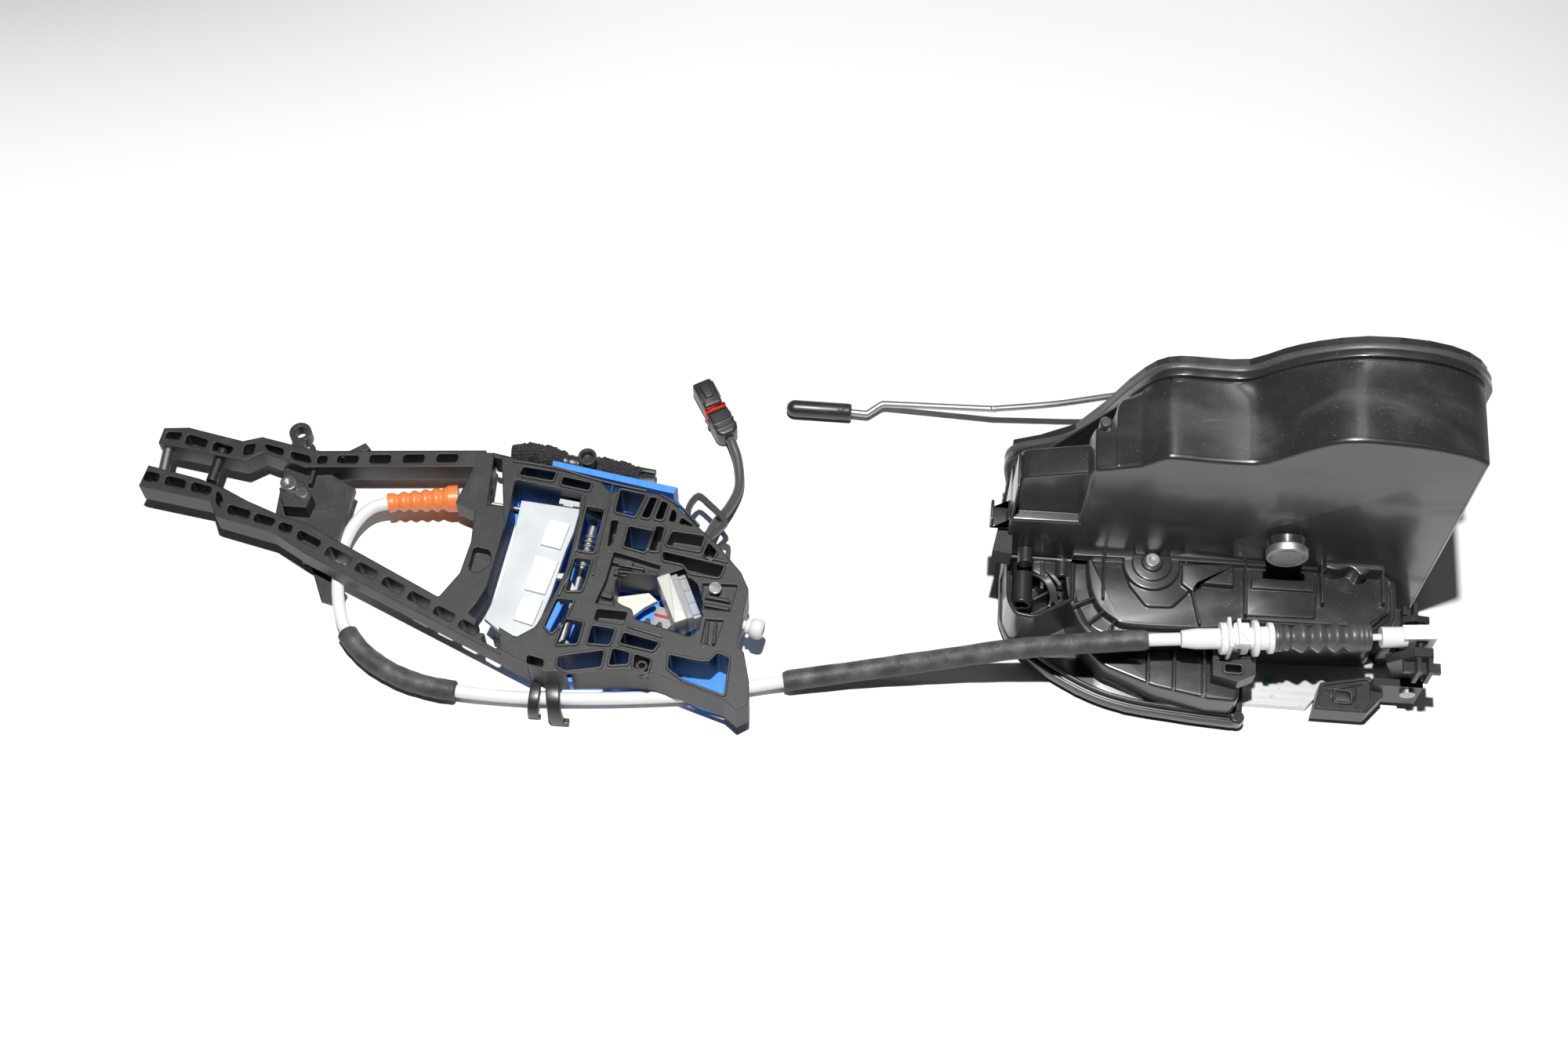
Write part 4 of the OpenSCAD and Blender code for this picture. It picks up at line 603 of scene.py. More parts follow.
# Front outline of the tall box in X and Z: the waves on top, then down the left side
WAVE = [[52, 126], [49, 128.6], [44.5, 131.4], [38, 133.6], [28, 135.8], [15, 137], [5.5, 137.2],
        [-2.5, 135.4], [-10, 130.6], [-19, 122.6], [-25.5, 117.4], [-31, 115.6], [-44, 115.4],
        [-57, 116.2], [-61, 115.2], [-65, 111.6], [-68.5, 108.6]]
RIM = [[56, 113], [55, 123], [46, 133], [30, 139], [8, 139.5], [-9, 134], [-20, 127.5], [-31, 118.5],
       [-44, 117.5], [-56, 117.5], [-64.5, 113], [-73, 98], [-89, 62], [-112, 46]]
FACE, BOX_BACK, SHELL_BACK = 23.0, 57.0, 66.0  # Y of the box's front, of its end and of the back shell
INTO_FACE = 23.4  # Y to which the foot's pieces reach into the box
BASE_FOOT, TREAD, LOW_TREAD_TOP, TUB_FLOOR = 3.0, 34.4, 21.0, 14.6  # Z from which the foot's details rise
CAP_AT = (-6.8, 0, 57.4)
CELL_FOOT, CELL_TOP = 25.3, 27.0  # Z of the walls round the bracket's cells
# Openings of the bracket's body that get a wall round them, in X and Y
CELLS = [[[-277.5, 33], [-279, 13.5], [-272.5, 13], [-270.5, 32]],
         [[-279.5, 10], [-281.5, -4.5], [-275.5, -4], [-273, 9.5]],
         [[-284.5, -8], [-288, -20], [-285, -23], [-281, -18], [-278, -8.5]],
         [[-305, 48.7], [-306, 45], [-292.5, 43.4], [-291.5, 47.2]],
         [[-288.5, 45.5], [-289, 42], [-277.5, 40.2], [-277, 43.5]],
         [[-265, 41.5], [-266, 31.5], [-258, 30], [-254.8, 39.8]],
         [[-252.6, 39.3], [-255.5, 30], [-252.4, 29.6], [-250, 38.6]],
         [[-248, 37.8], [-250, 29.6], [-247, 29.4], [-245.5, 36.6]],
         [[-260, 25.5], [-261, 16.5], [-252.5, 14.7], [-250.4, 24]],
         [[-269.5, -18.5], [-270.5, -26], [-262, -26], [-260.5, -19.5]],
         [[-257, -20.5], [-258, -25], [-245, -27.2], [-243, -23.8]],
         [[-281, -32.5], [-281, -36.5], [-277.5, -38.2], [-264.3, -35.5], [-263.8, -28.6]],
         [[-260.5, -27.5], [-261.2, -34.5], [-254, -33.5], [-254, -28.8]],
         [[-238.5, -28.5], [-238.5, -34], [-232, -38.5], [-216, -43.5], [-215.5, -28], [-220, -26.2],
          [-223, -30.2], [-227.5, -30.2]],
         [[-242.5, 24.6], [-244.5, 18.5], [-231, 16.8], [-229.8, 23.4]],
         [[-249, 26.5], [-251, 15.5], [-247.2, 15.5], [-246, 26]],
         [[-245.5, 15.4], [-245, 11.8], [-237, 10.6], [-234, 7], [-222.4, 6], [-220.8, 11]],
         [[-227.8, 20.8], [-229.5, 15.5], [-226, 13.4], [-224.2, 17]],
         [[-280, -16.5], [-282.5, -27.5], [-274.5, -26.5], [-273.2, -17.5]],
         [[-251.8, -29.2], [-251.8, -35], [-246.3, -36.5], [-245.4, -30.8]]]
# Front edges of the latch's base, foot, tread and lower tread, in X and Y
BASE_FRONT = [[-112, 57], [-112, 18], [-111, 4], [-102.5, -9], [-80, -22.5], [-61, -28.5], [-36, -31],
              [-19, -32]]
FOOT_FRONT = [[-86, 23], [-85.2, 12], [-82.9, 3.2], [-77.5, -6.0], [-68.4, -9.0], [-58, -8.6], [-50, -8.2],
              [-31, -5.6], [-19, -1.6], [31, 0], [38, 7], [38, 23]]
TREAD_FRONT = [[-79.8, 23], [-79.6, 16], [-78.4, 8], [-75, 1], [-69.1, -3.7], [-65.2, -5.6], [-50, -5.8],
               [-30.7, -4.6], [-21, -0.6], [28.1, 0.2], [36.5, 8], [36.8, 23]]
LOW_TREAD = [[-84, 4], [-80, -10], [-71.5, -18], [-52, -25], [-31, -28.6], [-19.5, -29], [-18.5, -9],
             [-31, -3], [-70, -2]]

# Routes of the cable, the rod and the pigtail, as in the CAD
ROUTE = [[-331.5, 40, 12], [-345.5, 37.8, 12], [-359.5, 35.6, 12], [-367.5, 32.5, 10.5],
         [-373.5, 25, 8], [-376.5, 14.5, 5.5], [-376, 2.5, 5], [-373.5, -9, 5], [-369, -19, 5],
         [-360, -28.5, 5], [-348, -35.5, 5], [-335, -39.5, 5], [-322, -41, 5], [-304, -41.5, 4.5],
         [-285.5, -41, 4.5], [-255, -38.5, 4.5], [-224.5, -34.5, 4.5], [-209.5, -30.5, 4.5],
         [-194.5, -27, 5.5], [-164, -21.5, 9], [-134, -17.5, 16], [-104, -14.5, 25],
         [-74.5, -13.4, 33.5], [-56, -12.7, 37.4], [-44.3, -11.7, 38]]
ROD = [[-177.5, 97, 4], [-170.8, 96.7, 4], [-169, 97, 4.1], [-164.4, 100.6, 4.8], [-162.4, 101.3, 5],
       [-160, 101.3, 5.2], [-120, 99.2, 10.6], [-117.8, 99.1, 11], [-115.4, 99.1, 11.6], [-92, 99.5, 18],
       [-66, 99.5, 29], [-50, 96, 38], [-36, 89, 46], [-24, 78.3, 51], [-17, 73.3, 52], [-14, 72.3, 52],
       [-11.2, 71.8, 52], [-10, 70.3, 52], [-10, 67.4, 52]]
PIGTAIL = [[-232.4, 27.8, 12.4], [-229.2, 31.4, 12.2], [-227, 38, 10], [-222.5, 47.5, 6],
           [-219.5, 58.5, 3.5], [-221, 70, 4], [-223.8, 77.3, 5], [-225.08, 79.65, 5]]
PLUG_AT, PLUG_TURN, PLUG_LENGTH, PLUG_WIDTH = (-232.3, 92.0), -59.7, 28.0, 9.5
END_AT, END_TURN = (-44.0, -11.6, 38.0), 5.0


def turned(surface, angle, at=(0, 0, 0)):
    """A surface turned about Z and moved to a place."""
    points, faces = surface
    c, s = math.cos(math.radians(angle)), math.sin(math.radians(angle))
    turn = np.array([[c, s, 0], [-s, c, 0], [0, 0, 1.0]])
    return np.asarray(points) @ turn + np.asarray(at, float), faces


# ------------------------------------------------------------------ operators


class DOORLOCK_OT_stage(bpy.types.Operator):
    """Table, light and camera"""

    bl_idname = "doorlock.stage"
    bl_label = "Stage and camera"

    def execute(self, context):
        s = settings()
        scene = bpy.context.scene
        mesh = bpy.data.meshes.new("table")
        half, top = 4.0, -0.0003
        mesh.from_pydata([(-half, -half, top), (half, -half, top), (half, half, top), (-half, half, top)],
                         [], [(0, 1, 2, 3)])
        table = bpy.data.objects.new("table", mesh)
        scene.collection.objects.link(table)
        look = Look("Table white", specular_ior_level=0.2)
        # The colour greys towards the far side of the table, most at the far left: painted shade where the
        # lamp's light falls off
        away = look.part(look.point, 1).between(0.16, 0.44)
        across = look.part(look.point, 0)
        left, right = (0.0 - across).between(0.22, 0.66), across.between(0.0, 0.2)
        base = look.mix((away * (0.3 + left * 1.2 + right * 0.35)).clamp(), (0.94, 0.94, 0.945),
                        (0.42, 0.42, 0.425))
        mesh.materials.append(look.done(base, 0.55))

        key = bpy.data.objects.new("key light", bpy.data.lights.new("key light", "AREA"))
        key.data.shape = "DISK"
        key.data.size = 0.045
        key.data.energy = s.key_power
        key.location = (-0.20, -0.08, 1.6)
        panel = bpy.data.objects.new("ceiling panel", bpy.data.lights.new("ceiling panel", "AREA"))
        panel.data.shape = "RECTANGLE"
        panel.data.size, panel.data.size_y = 0.34, 0.3
        panel.data.energy = 1.4
        panel.location = (0.04, 0.80, 1.75)
        for lamp in (key, panel):
            scene.collection.objects.link(lamp)

        world = bpy.data.worlds.new("room")
        scene.world = world
        world.use_nodes = True
        air = world.node_tree.nodes["Background"].inputs
        air["Color"].default_value = (1.0, 0.92, 0.87, 1)
        air["Strength"].default_value = 0.03

        camera = bpy.data.objects.new("camera", bpy.data.cameras.new("camera"))
        camera.data.lens = 54.86
        camera.data.sensor_width = 36.0
        camera.data.clip_start = 0.05
        target = Vector((-0.200, 0.045, 0.0))
        camera.location = (-0.1653, -0.3963, 0.8687)
        camera.rotation_euler = (target - camera.location).to_track_quat("-Z", "Y").to_euler()
        scene.collection.objects.link(camera)
        scene.camera = camera
        scene.view_settings.view_transform = "Standard"
        return {"FINISHED"}


class DOORLOCK_OT_pigtail(bpy.types.Operator):
    """The sleeved pigtail with its plug and seal"""

    bl_idname = "doorlock.pigtail"
    bl_label = "Pigtail and plug"

    def execute(self, context):
        s = settings()
        path = spline(PIGTAIL, 8)
        radius = s.pigtail_diameter / MM / 2
        cord = piece("pigtail_sleeve", [tube(path, radius, 16)], LOOKS["bellows"], "lock", "rubber_black",
                     "pigtail_cord")
        half, w = PLUG_LENGTH / 2, PLUG_WIDTH / 2
        body = [
            slab([[-half, -w + 0.6], [-1.2, -w + 0.6], [-1.2, w - 0.6], [-half, w - 0.6]], 0.6, 9.4, 1.2,
                 1.4, foot=1.2),
            slab([[1.2, -w], [half - 2, -w], [half, -w + 2], [half, w - 2], [half - 2, w], [1.2, w]], 0.2,
                 9.8, 1.4, 1.2, foot=1.2),
            block((-1.6, -w + 1.3, 1.6), (1.6, w - 1.3, 8.4), 0.5),
            block((3, -w - 0.45, 2), (5, w + 0.45, 8), 0.4),
            *[block((x, -w - 0.1, 2.4), (x + 0.8, w + 0.1, 9.95), 0.3) for x in (7.2, 10.0)],
            slab([[-half + 1.4, -2.2], [-half + 9, -1.6], [-half + 9, 1.6], [-half + 1.4, 2.2]], 8.8, 10.3,
                 0.4, 0.5),
            *[block((-half + 2.2, y, 8.9), (-half + 10.6, y + 1.2, 9.9), 0.3) for y in (-w + 0.4, w - 1.6)],
        ]
        place = (*PLUG_AT, 0)
        plug = piece("plug_shell", [turned(b, PLUG_TURN, place) for b in body], LOOKS["small_black"],
                     "lock", "black_plastic", "plug_body")
        lips = [slab([[-x, -y], [x, -y], [x, y], [-x, y]], low, high, 0.8, 0.3, foot=0.8)
                for x, y, low, high in ((0.9, w - 0.1, 0.5, 9.7), (1.2, w - 0.9, 1.0, 9.2))]
        seal = piece("plug_gasket", [turned(lip, PLUG_TURN, place) for lip in lips], LOOKS["seal"], "lock",
                     "seal_red", "plug_seal")
        return {"FINISHED"}


def at_end(surface):
    """From the cable end's own frame to the row frame."""
    return turned(surface, END_TURN, END_AT)


class DOORLOCK_OT_cable(bpy.types.Operator):
    """Conduit, foam sleeves, boot, abutment and bellows of the pull cable"""

    bl_idname = "doorlock.cable"
    bl_label = "Pull cable"

    def execute(self, context):
        s = settings()
        path = spline(ROUTE, 10)
        piece("white_conduit", [tube(path, s.conduit_diameter / MM / 2, 20)], LOOKS["white"], "lock",
              "cable_white", "conduit")
        for name, node, a, b in (("foam_at_bracket", "front_foam", 8, 12),
                                 ("foam_at_latch", "rear_foam", 18, 23)):
            run, t = resample(path[a * 10:b * 10 + 1], 90), np.linspace(0, 1, 90)
            ends = np.minimum(np.minimum(t, 1 - t) * 60, 1) ** 0.35
            ripple = 0.06 * np.sin(23 * t) + 0.05 * np.sin(57 * t + 1)
            radius = (s.foam_diameter / MM / 2 + ripple) * (0.82 + 0.18 * ends)
            piece(name, [tube(run, radius, 24)], LOOKS["foam"], "lock", "foam_grey", node)
        boot = resample(path[:21], 120)
        along = np.linspace(0, 1, 120)
        fold = 0.5 + 0.5 * np.cos(2 * math.pi * 5 * np.clip((along - 0.16) / 0.78, 0, 1))
        radius = np.where(along < 0.15, 5.45, 5.3 - 1.5 * along - 1.0 * (1 - fold ** 0.7))
        radius = np.where(along > 0.94, 3.9, radius)
        piece("orange_boot", [tube(boot, radius, 28)], LOOKS["orange"], "lock", "boot_orange", "cable_boot")
        stem = [[0, 0], [0, 3.0], [0.4, 3.3], [6, 4.0], [14.6, 4.0], [14.8, 6.0], [15.1, 6.2], [16.9, 6.2],
                [17.2, 6.0], [17.4, 4.2], [26.9, 4.2], [27.2, 6.7], [27.5, 7.0], [29.0, 7.0], [29.3, 6.7],
                [29.5, 4.5], [32.8, 4.5], [33.0, 5.8], [33.3, 6.0], [34.8, 6.0], [35, 5.8], [35, 0]]
        clip = [block((17.4, -6.2, -6.4), (18.8, 6.2, 6.6), 0.5),
                block((19.8, -4.6, -5.6), (25.8, 4.6, 5.0), 0.8),
                block((21.0, -5.4, 3.0), (22.4, 5.4, 6.9), 0.4)]
        piece("white_abutment", [at_end(c) for c in (revolve(stem, (0, 0, 0), (1, 0, 0)), *clip)],
              LOOKS["white"], "lock", "cable_white", "cable_abutment")
        knots = [[4.6, 4.7], [5.6, 4.9], [7.2, 3.9], [11.0, 5.7], [14.2, 3.9], [17.3, 5.7], [20.5, 3.9],
                 [23.7, 5.7], [26.9, 4.1], [29.6, 5.5], [31.4, 5.6]]
        folds = spline(knots, 12) + [35, 0]
        head = [[35, 0], [35, 4.9], [35.3, 5.2], [36.6, 5.2], [36.8, 4.8], [37.0, 5.2], [38.4, 5.2],
                [38.7, 4.7]]
        tail = [[67.0, 5.5], [67.2, 5.2], [67.5, 5.5], [68.9, 5.5], [69.1, 5.2], [69.4, 5.5], [70.8, 5.5],
                [71.0, 5.2], [71.3, 5.4], [72, 5.1], [72, 0]]
        piece("folded_bellows", [at_end(revolve(np.vstack([head, folds, tail]), (0, 0, 0), (1, 0, 0), 48))],
              LOOKS["bellows"], "lock", "rubber_black", "cable_bellows", sharp=60)
        return {"FINISHED"}


class DOORLOCK_OT_cover(bpy.types.Operator):
    """The tall box of the latch's cover with its corner block"""

    bl_idname = "doorlock.cover"
    bl_label = "Tall cover"

    def execute(self, context):
        s = settings()
        wave = spline(WAVE, 4)
        wall, r = 2.4, s.edge_radius / MM
        left = [[-79.5, 104.5], [-84.8, 103], [-86, 96], [-86.2, 64], [-86.2, 3]]
        front = loft(rounded(np.vstack([[[52, 3]], wave, left]), 1.6),
                     up_edge(FACE + r + 0.4, FACE, r, steps=6), "xz")
        # The box behind it: its wall flares out to the nearest points of the rim's arch
        box = rounded(np.vstack([[[52, 3]], wave, [[-77.5, 105.4], [-77.5, 3]]]), 1.2)
        arch = [[54.4, 3], [54.4, 60], [54.2, 112]] + [[x - 0.4, z - 1.9] for x, z in RIM[1:]]
        inner = resample(spline(arch, 6), 900)
        near = np.argmin(np.linalg.norm(box[3:-3][:, None] - inner[None], axis=2), 1)
        flare = inner[near] - box[3:-3]
        grid = [strip(box[3:-3] + k * flare, wall) for k in (0, 0, 0.06, 0.2, 0.45, 0.8, 1, 1)]
        depth = (FACE + r + 0.2, 46, 49.5, 52, 54, 55.4, 56.4, BOX_BACK + 0.4)
        grid = np.stack([np.insert(g, 1, y, 1) for g, y in zip(grid, depth)])
        surfaces = [front, rings(grid)]
        # Stepped notch with its post, the recessed corner block, its frame and the shoulder below
        surfaces += [
            slab([[-86.2, 60], [-76, 60], [-76, 105.8], [-79.5, 104.5], [-84.8, 102.9], [-86, 96]], 41.0,
                 FACE + 1.2, 0.1, 1.0, "xz", foot=0.8),
            revolve([[90, 0], [90, 2.4], [106.2, 2.4], [107, 1.8], [107, 0]], (-81.4, 41.6, 0), (0, 0, 1),
                    24),
            slab([[-110.4, 58], [-84.5, 58], [-84.5, 93.6], [-87, 93], [-108, 86.6], [-110.4, 84.6]], 39.5,
                 27.3, 1.0, 1.6, "xz", foot=1.0),
            slab([[-111.8, 58], [-110.6, 58], [-110.2, 85.5], [-111.4, 85.5]], 38.0, 24.0, 0.5, 0.4, "xz",
                 foot=0.5),
            slab([[-119.2, 48.6], [-111, 48.6], [-111, 57], [-112.6, 57], [-112.6, 50.2], [-119.2, 50.2]],
                 33, 24.6, 0.4, 0.3, "xz", foot=0.4),
            slab([[-119.2, 48.6], [-118.0, 48.6], [-118.0, 56.4], [-119.2, 56.4]], 33, 24.6, 0.4, 0.3, "xz",
                 foot=0.4),
            slab([[-112, 3], [-84, 3], [-84, 60.8], [-112, 60.2]], 45, FACE, 1.0, 1.4, "xz"),
            slab([[-110, 3], [-84, 3], [-84, 63], [-89, 60.5], [-110, 45.5]], BOX_BACK, 40, 0.5, 1.0, "xz"),
        ]
        # Boss behind the steel cap, the small tube and the mouth round the striker's way
        surfaces += [
            revolve([[FACE + 1, 0], [FACE + 1, 7.4], [FACE - 0.5, 7.0], [FACE - 3.9, 6.6], [FACE - 4, 0]],
                    CAP_AT, (0, 1, 0)),
            revolve([[17, 0], [17, 1.5], [17, 3.0], [24, 3.0], [24, 0]], (-104, 0, 35), (0, 1, 0), 24),
            slab(strip(rounded([[6.5, 3], [6.5, 19], [23.5, 19], [23.5, 3]], 2.0)[5:-5], 1.4), 54.6, 60,
                 0.3, 0, "xz"),
        ]
        piece("tall_cover", surfaces, LOOKS["cover"], "lock", "black_plastic", "latch_cover", sharp=34)
        return {"FINISHED"}


class DOORLOCK_OT_rim(bpy.types.Operator):
    """Flange and foam gasket round the back of the cover"""

    bl_idname = "doorlock.rim"
    bl_label = "Rim and gasket"

    def execute(self, context):
        path = spline([[56, 25], [56, 90], *RIM, [-112, 25]], 6)
        flange_run, gasket_run = (np.insert(path, 1, y, 1) for y in (58.5, 61.6))
        lip = rounded([[-1.6, -3.6], [1.6, -3.6], [1.6, 0.2], [-1.6, 0.2]], 0.6, 3)
        piece("rear_flange", [sweep(flange_run, lip[:, ::-1], (0, 1, 0))], LOOKS["cover"], "lock",
              "black_plastic", sharp=34)
        swell = rounded([[-3.0, -1.5], [0.0, -1.5], [0.15, 1.4], [-3.0, 1.4]], 1.0, 4)
        piece("foam_gasket", [sweep(gasket_run, swell, (0, 1, 0))], LOOKS["gasket"], "lock", "rubber_black",
              "rim_gasket", sharp=34)
        return {"FINISHED"}


class DOORLOCK_OT_foot(bpy.types.Operator):
    """The foot in front of the tall box: treads, tub, ribs, bosses and the beaded base"""

    bl_idname = "doorlock.foot"
    bl_label = "Foot"

    def execute(self, context):
        outer = np.vstack([spline(FOOT_FRONT[:8], 4), FOOT_FRONT[8:]])
        surfaces = [
            loft(strip(rounded(outer, 2.0)[::-1], 2.2), up_edge(BASE_FOOT, 30.2, 0.4)),
            slab(outer, 28.0, 30.4, 1.2, 1.6),
            slab(np.vstack([spline(TREAD_FRONT[:9], 4), TREAD_FRONT[9:]]), 29.5, 35.0, 1.1, 1.4),
            slab(LOW_TREAD, 6, 22, 1.2, 3.0),
            slab(BASE_FRONT + [[-15.5, -29], [-15, -9], [-12, 0.4], [-62, 0.4], [-62, 57]], BASE_FOOT, 6.2,
                 0.4, 1.0),
            slab([[36.4, -2], [52, 3], [52, 57], [36.4, 57]], BASE_FOOT, 6.2, 0.4, 0.6),
        ]
        surfaces += self.beads() + self.relief() + self.tub()
        piece("foot_shell", surfaces, LOOKS["cover"], "lock", "black_plastic", "foot_cover", sharp=34)
        return {"FINISHED"}

    def beads(self):
        """Two beads with a groove between them round the base's front, and the post at their end."""
        path = spline(BASE_FRONT, 8)
        path = np.column_stack([path, np.zeros(len(path))])
        section = [[0.2, 3.0], [0.2, 6.6], [0.6, 7.3], [1.2, 7.4], [1.7, 6.9], [2.0, 6.2], [2.5, 6.4],
                   [2.8, 7.9], [3.3, 8.45], [3.9, 8.45], [4.4, 7.9], [4.8, 6.0], [4.8, 3.0]]
        post = revolve([[3, 0], [3, 2.8], [7.6, 2.8], [8.4, 2.2], [8.4, 0]], (-17.6, -29.2, 0), (0, 0, 1),
                       28)
        return [sweep(path, section), post]

    def relief(self):
        """Steps, ribs and the screw's bowl on the treads."""
        x0, y0 = -55.3, 19.5

        def bowl(radius, spread, steps):
            """An arc round the screw from wall to wall, cut off at the box."""
            a = np.linspace(math.pi - spread, 2 * math.pi + spread, steps)
            return np.stack([x0 + radius * np.cos(a), np.minimum(y0 + radius * np.sin(a), INTO_FACE)], 1)

        out = [
            slab([[-64.5, INTO_FACE], [-64.2, 11], [-57, 1.8], [-46.9, 2.3], [-41, 8.8], [-38.2, 16],
                  [-38.2, INTO_FACE]], TREAD, 36.4, 0.7, 1.4),
            slab([[-43.7, 20.5], [-23.5, 21.4], [-23.5, 12.3], [-37.0, 12.6], [-39.4, 8.6], [-44, 12]],
                 TREAD, 38.2, 0.7, 0.9),
            slab(bowl(11, 0.4, 40), TREAD, 38.0, 0.7, 0),
            slab(bowl(7.6, 0.5, 36), 37.0, 38.8, 0.5, 0),
            revolve([[34, 0], [34, 4.0], [39.6, 4.0], [40.0, 3.6], [40.0, 0]], (x0, y0, 0), (0, 0, 1), 32),
            slab([[-18.6, INTO_FACE], [-19, 1.2], [7.6, 2], [9.6, INTO_FACE]], TREAD, 35.8, 0.6, 0.8),
            slab([[-16.6, 17.2], [-16.8, 12.6], [7.2, 12.8], [7.8, 17.6]], 35.2, 37.0, 0.4, 0.6),
            slab([[-86, INTO_FACE], [-86, 20.6], [-44, 21.4], [9, 21.6], [9, INTO_FACE]], TREAD, 38.4, 0.6,
                 0.5),
        ]
        # Ribs: their ends, thickness, foot and top
        ribs = (([-73.6, 3.6], [-73.6, 23.2], 0.9, TREAD, 38.6),
                ([-42.2, 23.2], [-36.6, -4.4], 0.9, TREAD, 37.6),
                ([-19.2, 0.4], [-19.2, 23.2], 1.2, TREAD, 39.2),
                ([10.2, 7.4], [10.2, 23.2], 1.2, TREAD, 39.4),
                ([33.6, 9.4], [33.6, 23.2], 1.2, TREAD, 39.4),
                ([-84.4, 1.5], [-77.2, 5.0], 1.0, 29.8, 34.2),
                ([-78.4, -5.0], [-73.2, -0.4], 1.0, 29.8, 34.2),
                ([-70.6, -8.2], [-68.8, -4.0], 1.0, 29.8, 34.0),
                ([-54.4, -24.2], [-54.4, -8], 1.3, LOW_TREAD_TOP, 25),
                ([-44.4, -26.0], [-44.4, -7.6], 1.3, LOW_TREAD_TOP, 25),
                ([-33.0, -28.0], [-33.0, -6.4], 1.6, LOW_TREAD_TOP, 26.4),
                ([-78, -12.4], [-52, -8.6], 0.9, LOW_TREAD_TOP, 23.6))
        out += [rib(*r) for r in ribs]
        ledge = [[10.6, INTO_FACE], [10.6, 20.4], [14, 19.6], [16.5, 19.8], [19.6, 21.4], [21.6, 20.6],
                 [23.4, 18.2], [25.6, 18.4], [27.4, 20.8], [33.4, 20.8], [33.4, INTO_FACE]]
        side = block((42.2, 3.95, BASE_FOOT), (52, 6.5, 19), 0.5)
        return out + [side, slab(ledge, TREAD, 43.4, 0.8, 0.8)]

    def tub(self):
        """Open tub in the left corner: its wall goes up outside, over the lip and down inside."""
        outline = rounded([[-111, 23], [-110.5, 4], [-107, -3], [-99, -4], [-84, 5], [-84, 23]], 2.4)
        rows = [(0, 6), (0, 30.4), (0.35, 30.9), (0.8, 31.1), (1.3, 31.0), (1.7, 30.6), (1.9, 15.4)]

        def pipe(x, z, outer, inner, y0):
            """A tube along Y with a bore and softened front edges."""
            return revolve([[19, 0], [19, inner], [y0 + 0.3, inner], [y0, inner + 0.35], [y0, outer - 0.35],
                            [y0 + 0.4, outer], [23.6, outer], [23.6, 0]], (x, 0, z), (0, 1, 0), 28)

        return [
            loft(outline, rows),
            pipe(-104, 25, 4.0, 2.5, 4),
            pipe(-89, 28, 3.25, 1.8, 15),
            block((-107, 6, TUB_FLOOR), (-101, INTO_FACE, 24.6), 0.5),
            block((-91, 16, TUB_FLOOR), (-87, INTO_FACE, 27.4), 0.5),
            rib([-96.6, 9.6], [-96.6, INTO_FACE], 1.6, TUB_FLOOR, 29.6),
            rib([-99.6, 6.0], [-92, 11.0], 1.2, TUB_FLOOR, 27.0),
            rib([-93.4, 3.6], [-90.6, 15.0], 1.2, TUB_FLOOR, 26.4),
            slab([[-100.8, INTO_FACE], [-100.8, 17], [-93.5, 12.8], [-91.5, 16], [-91.5, INTO_FACE]],
                 TUB_FLOOR, 29.4, 0.8, 0.9),
        ]


class DOORLOCK_OT_rod(bpy.types.Operator):
    """Bent lock rod, its sleeve and the steel cap on the cover"""

    bl_idname = "doorlock.rod"
    bl_label = "Lock rod and cap"

    def execute(self, context):
        s = settings()
        piece("bent_rod", [tube(spline(ROD, 8), s.rod_diameter / MM / 2, 18)], LOOKS["zinc"], "lock_rod",
              "zinc_steel", "lock_rod")
        end, r = -199.5, 3.5  # of the sleeve's round end: profile = (end - r cos a, r sin a)
        profile = [[end - r, 0]] + [[end - r * math.cos(a), r * math.sin(a)] for a in
                                    np.linspace(0.15, math.pi / 2, 10)]
        profile += [[-177.0, r], [-176.3, 3.3], [-176.0, 2.9], [-176.0, 1.5], [-177.6, 1.48], [-177.6, 0]]
        slot = block((-181.4, 95.6, 7.1), (-179.2, 98.4, 7.55), 0.2)
        piece("black_sleeve", [revolve(profile, (0, 97, 4), (1, 0, 0), 40), slot], LOOKS["small_black"],
              "lock_rod", "black_plastic", "rod_sleeve")
        cap = [[19.4, 0], [19.4, 7.6], [19.0, 8.0], [16.6, 8.0], [16.1, 7.7], [16.0, 7.3], [16.0, 6.6],
               [16.4, 6.3], [16.4, 5.9], [16.05, 5.6], [16.0, 0]]
        piece("steel_cap", [revolve(cap, CAP_AT, (0, 1, 0), 64)], LOOKS["cap"], "lock", "zinc_steel",
              "pin_cap")
        return {"FINISHED"}


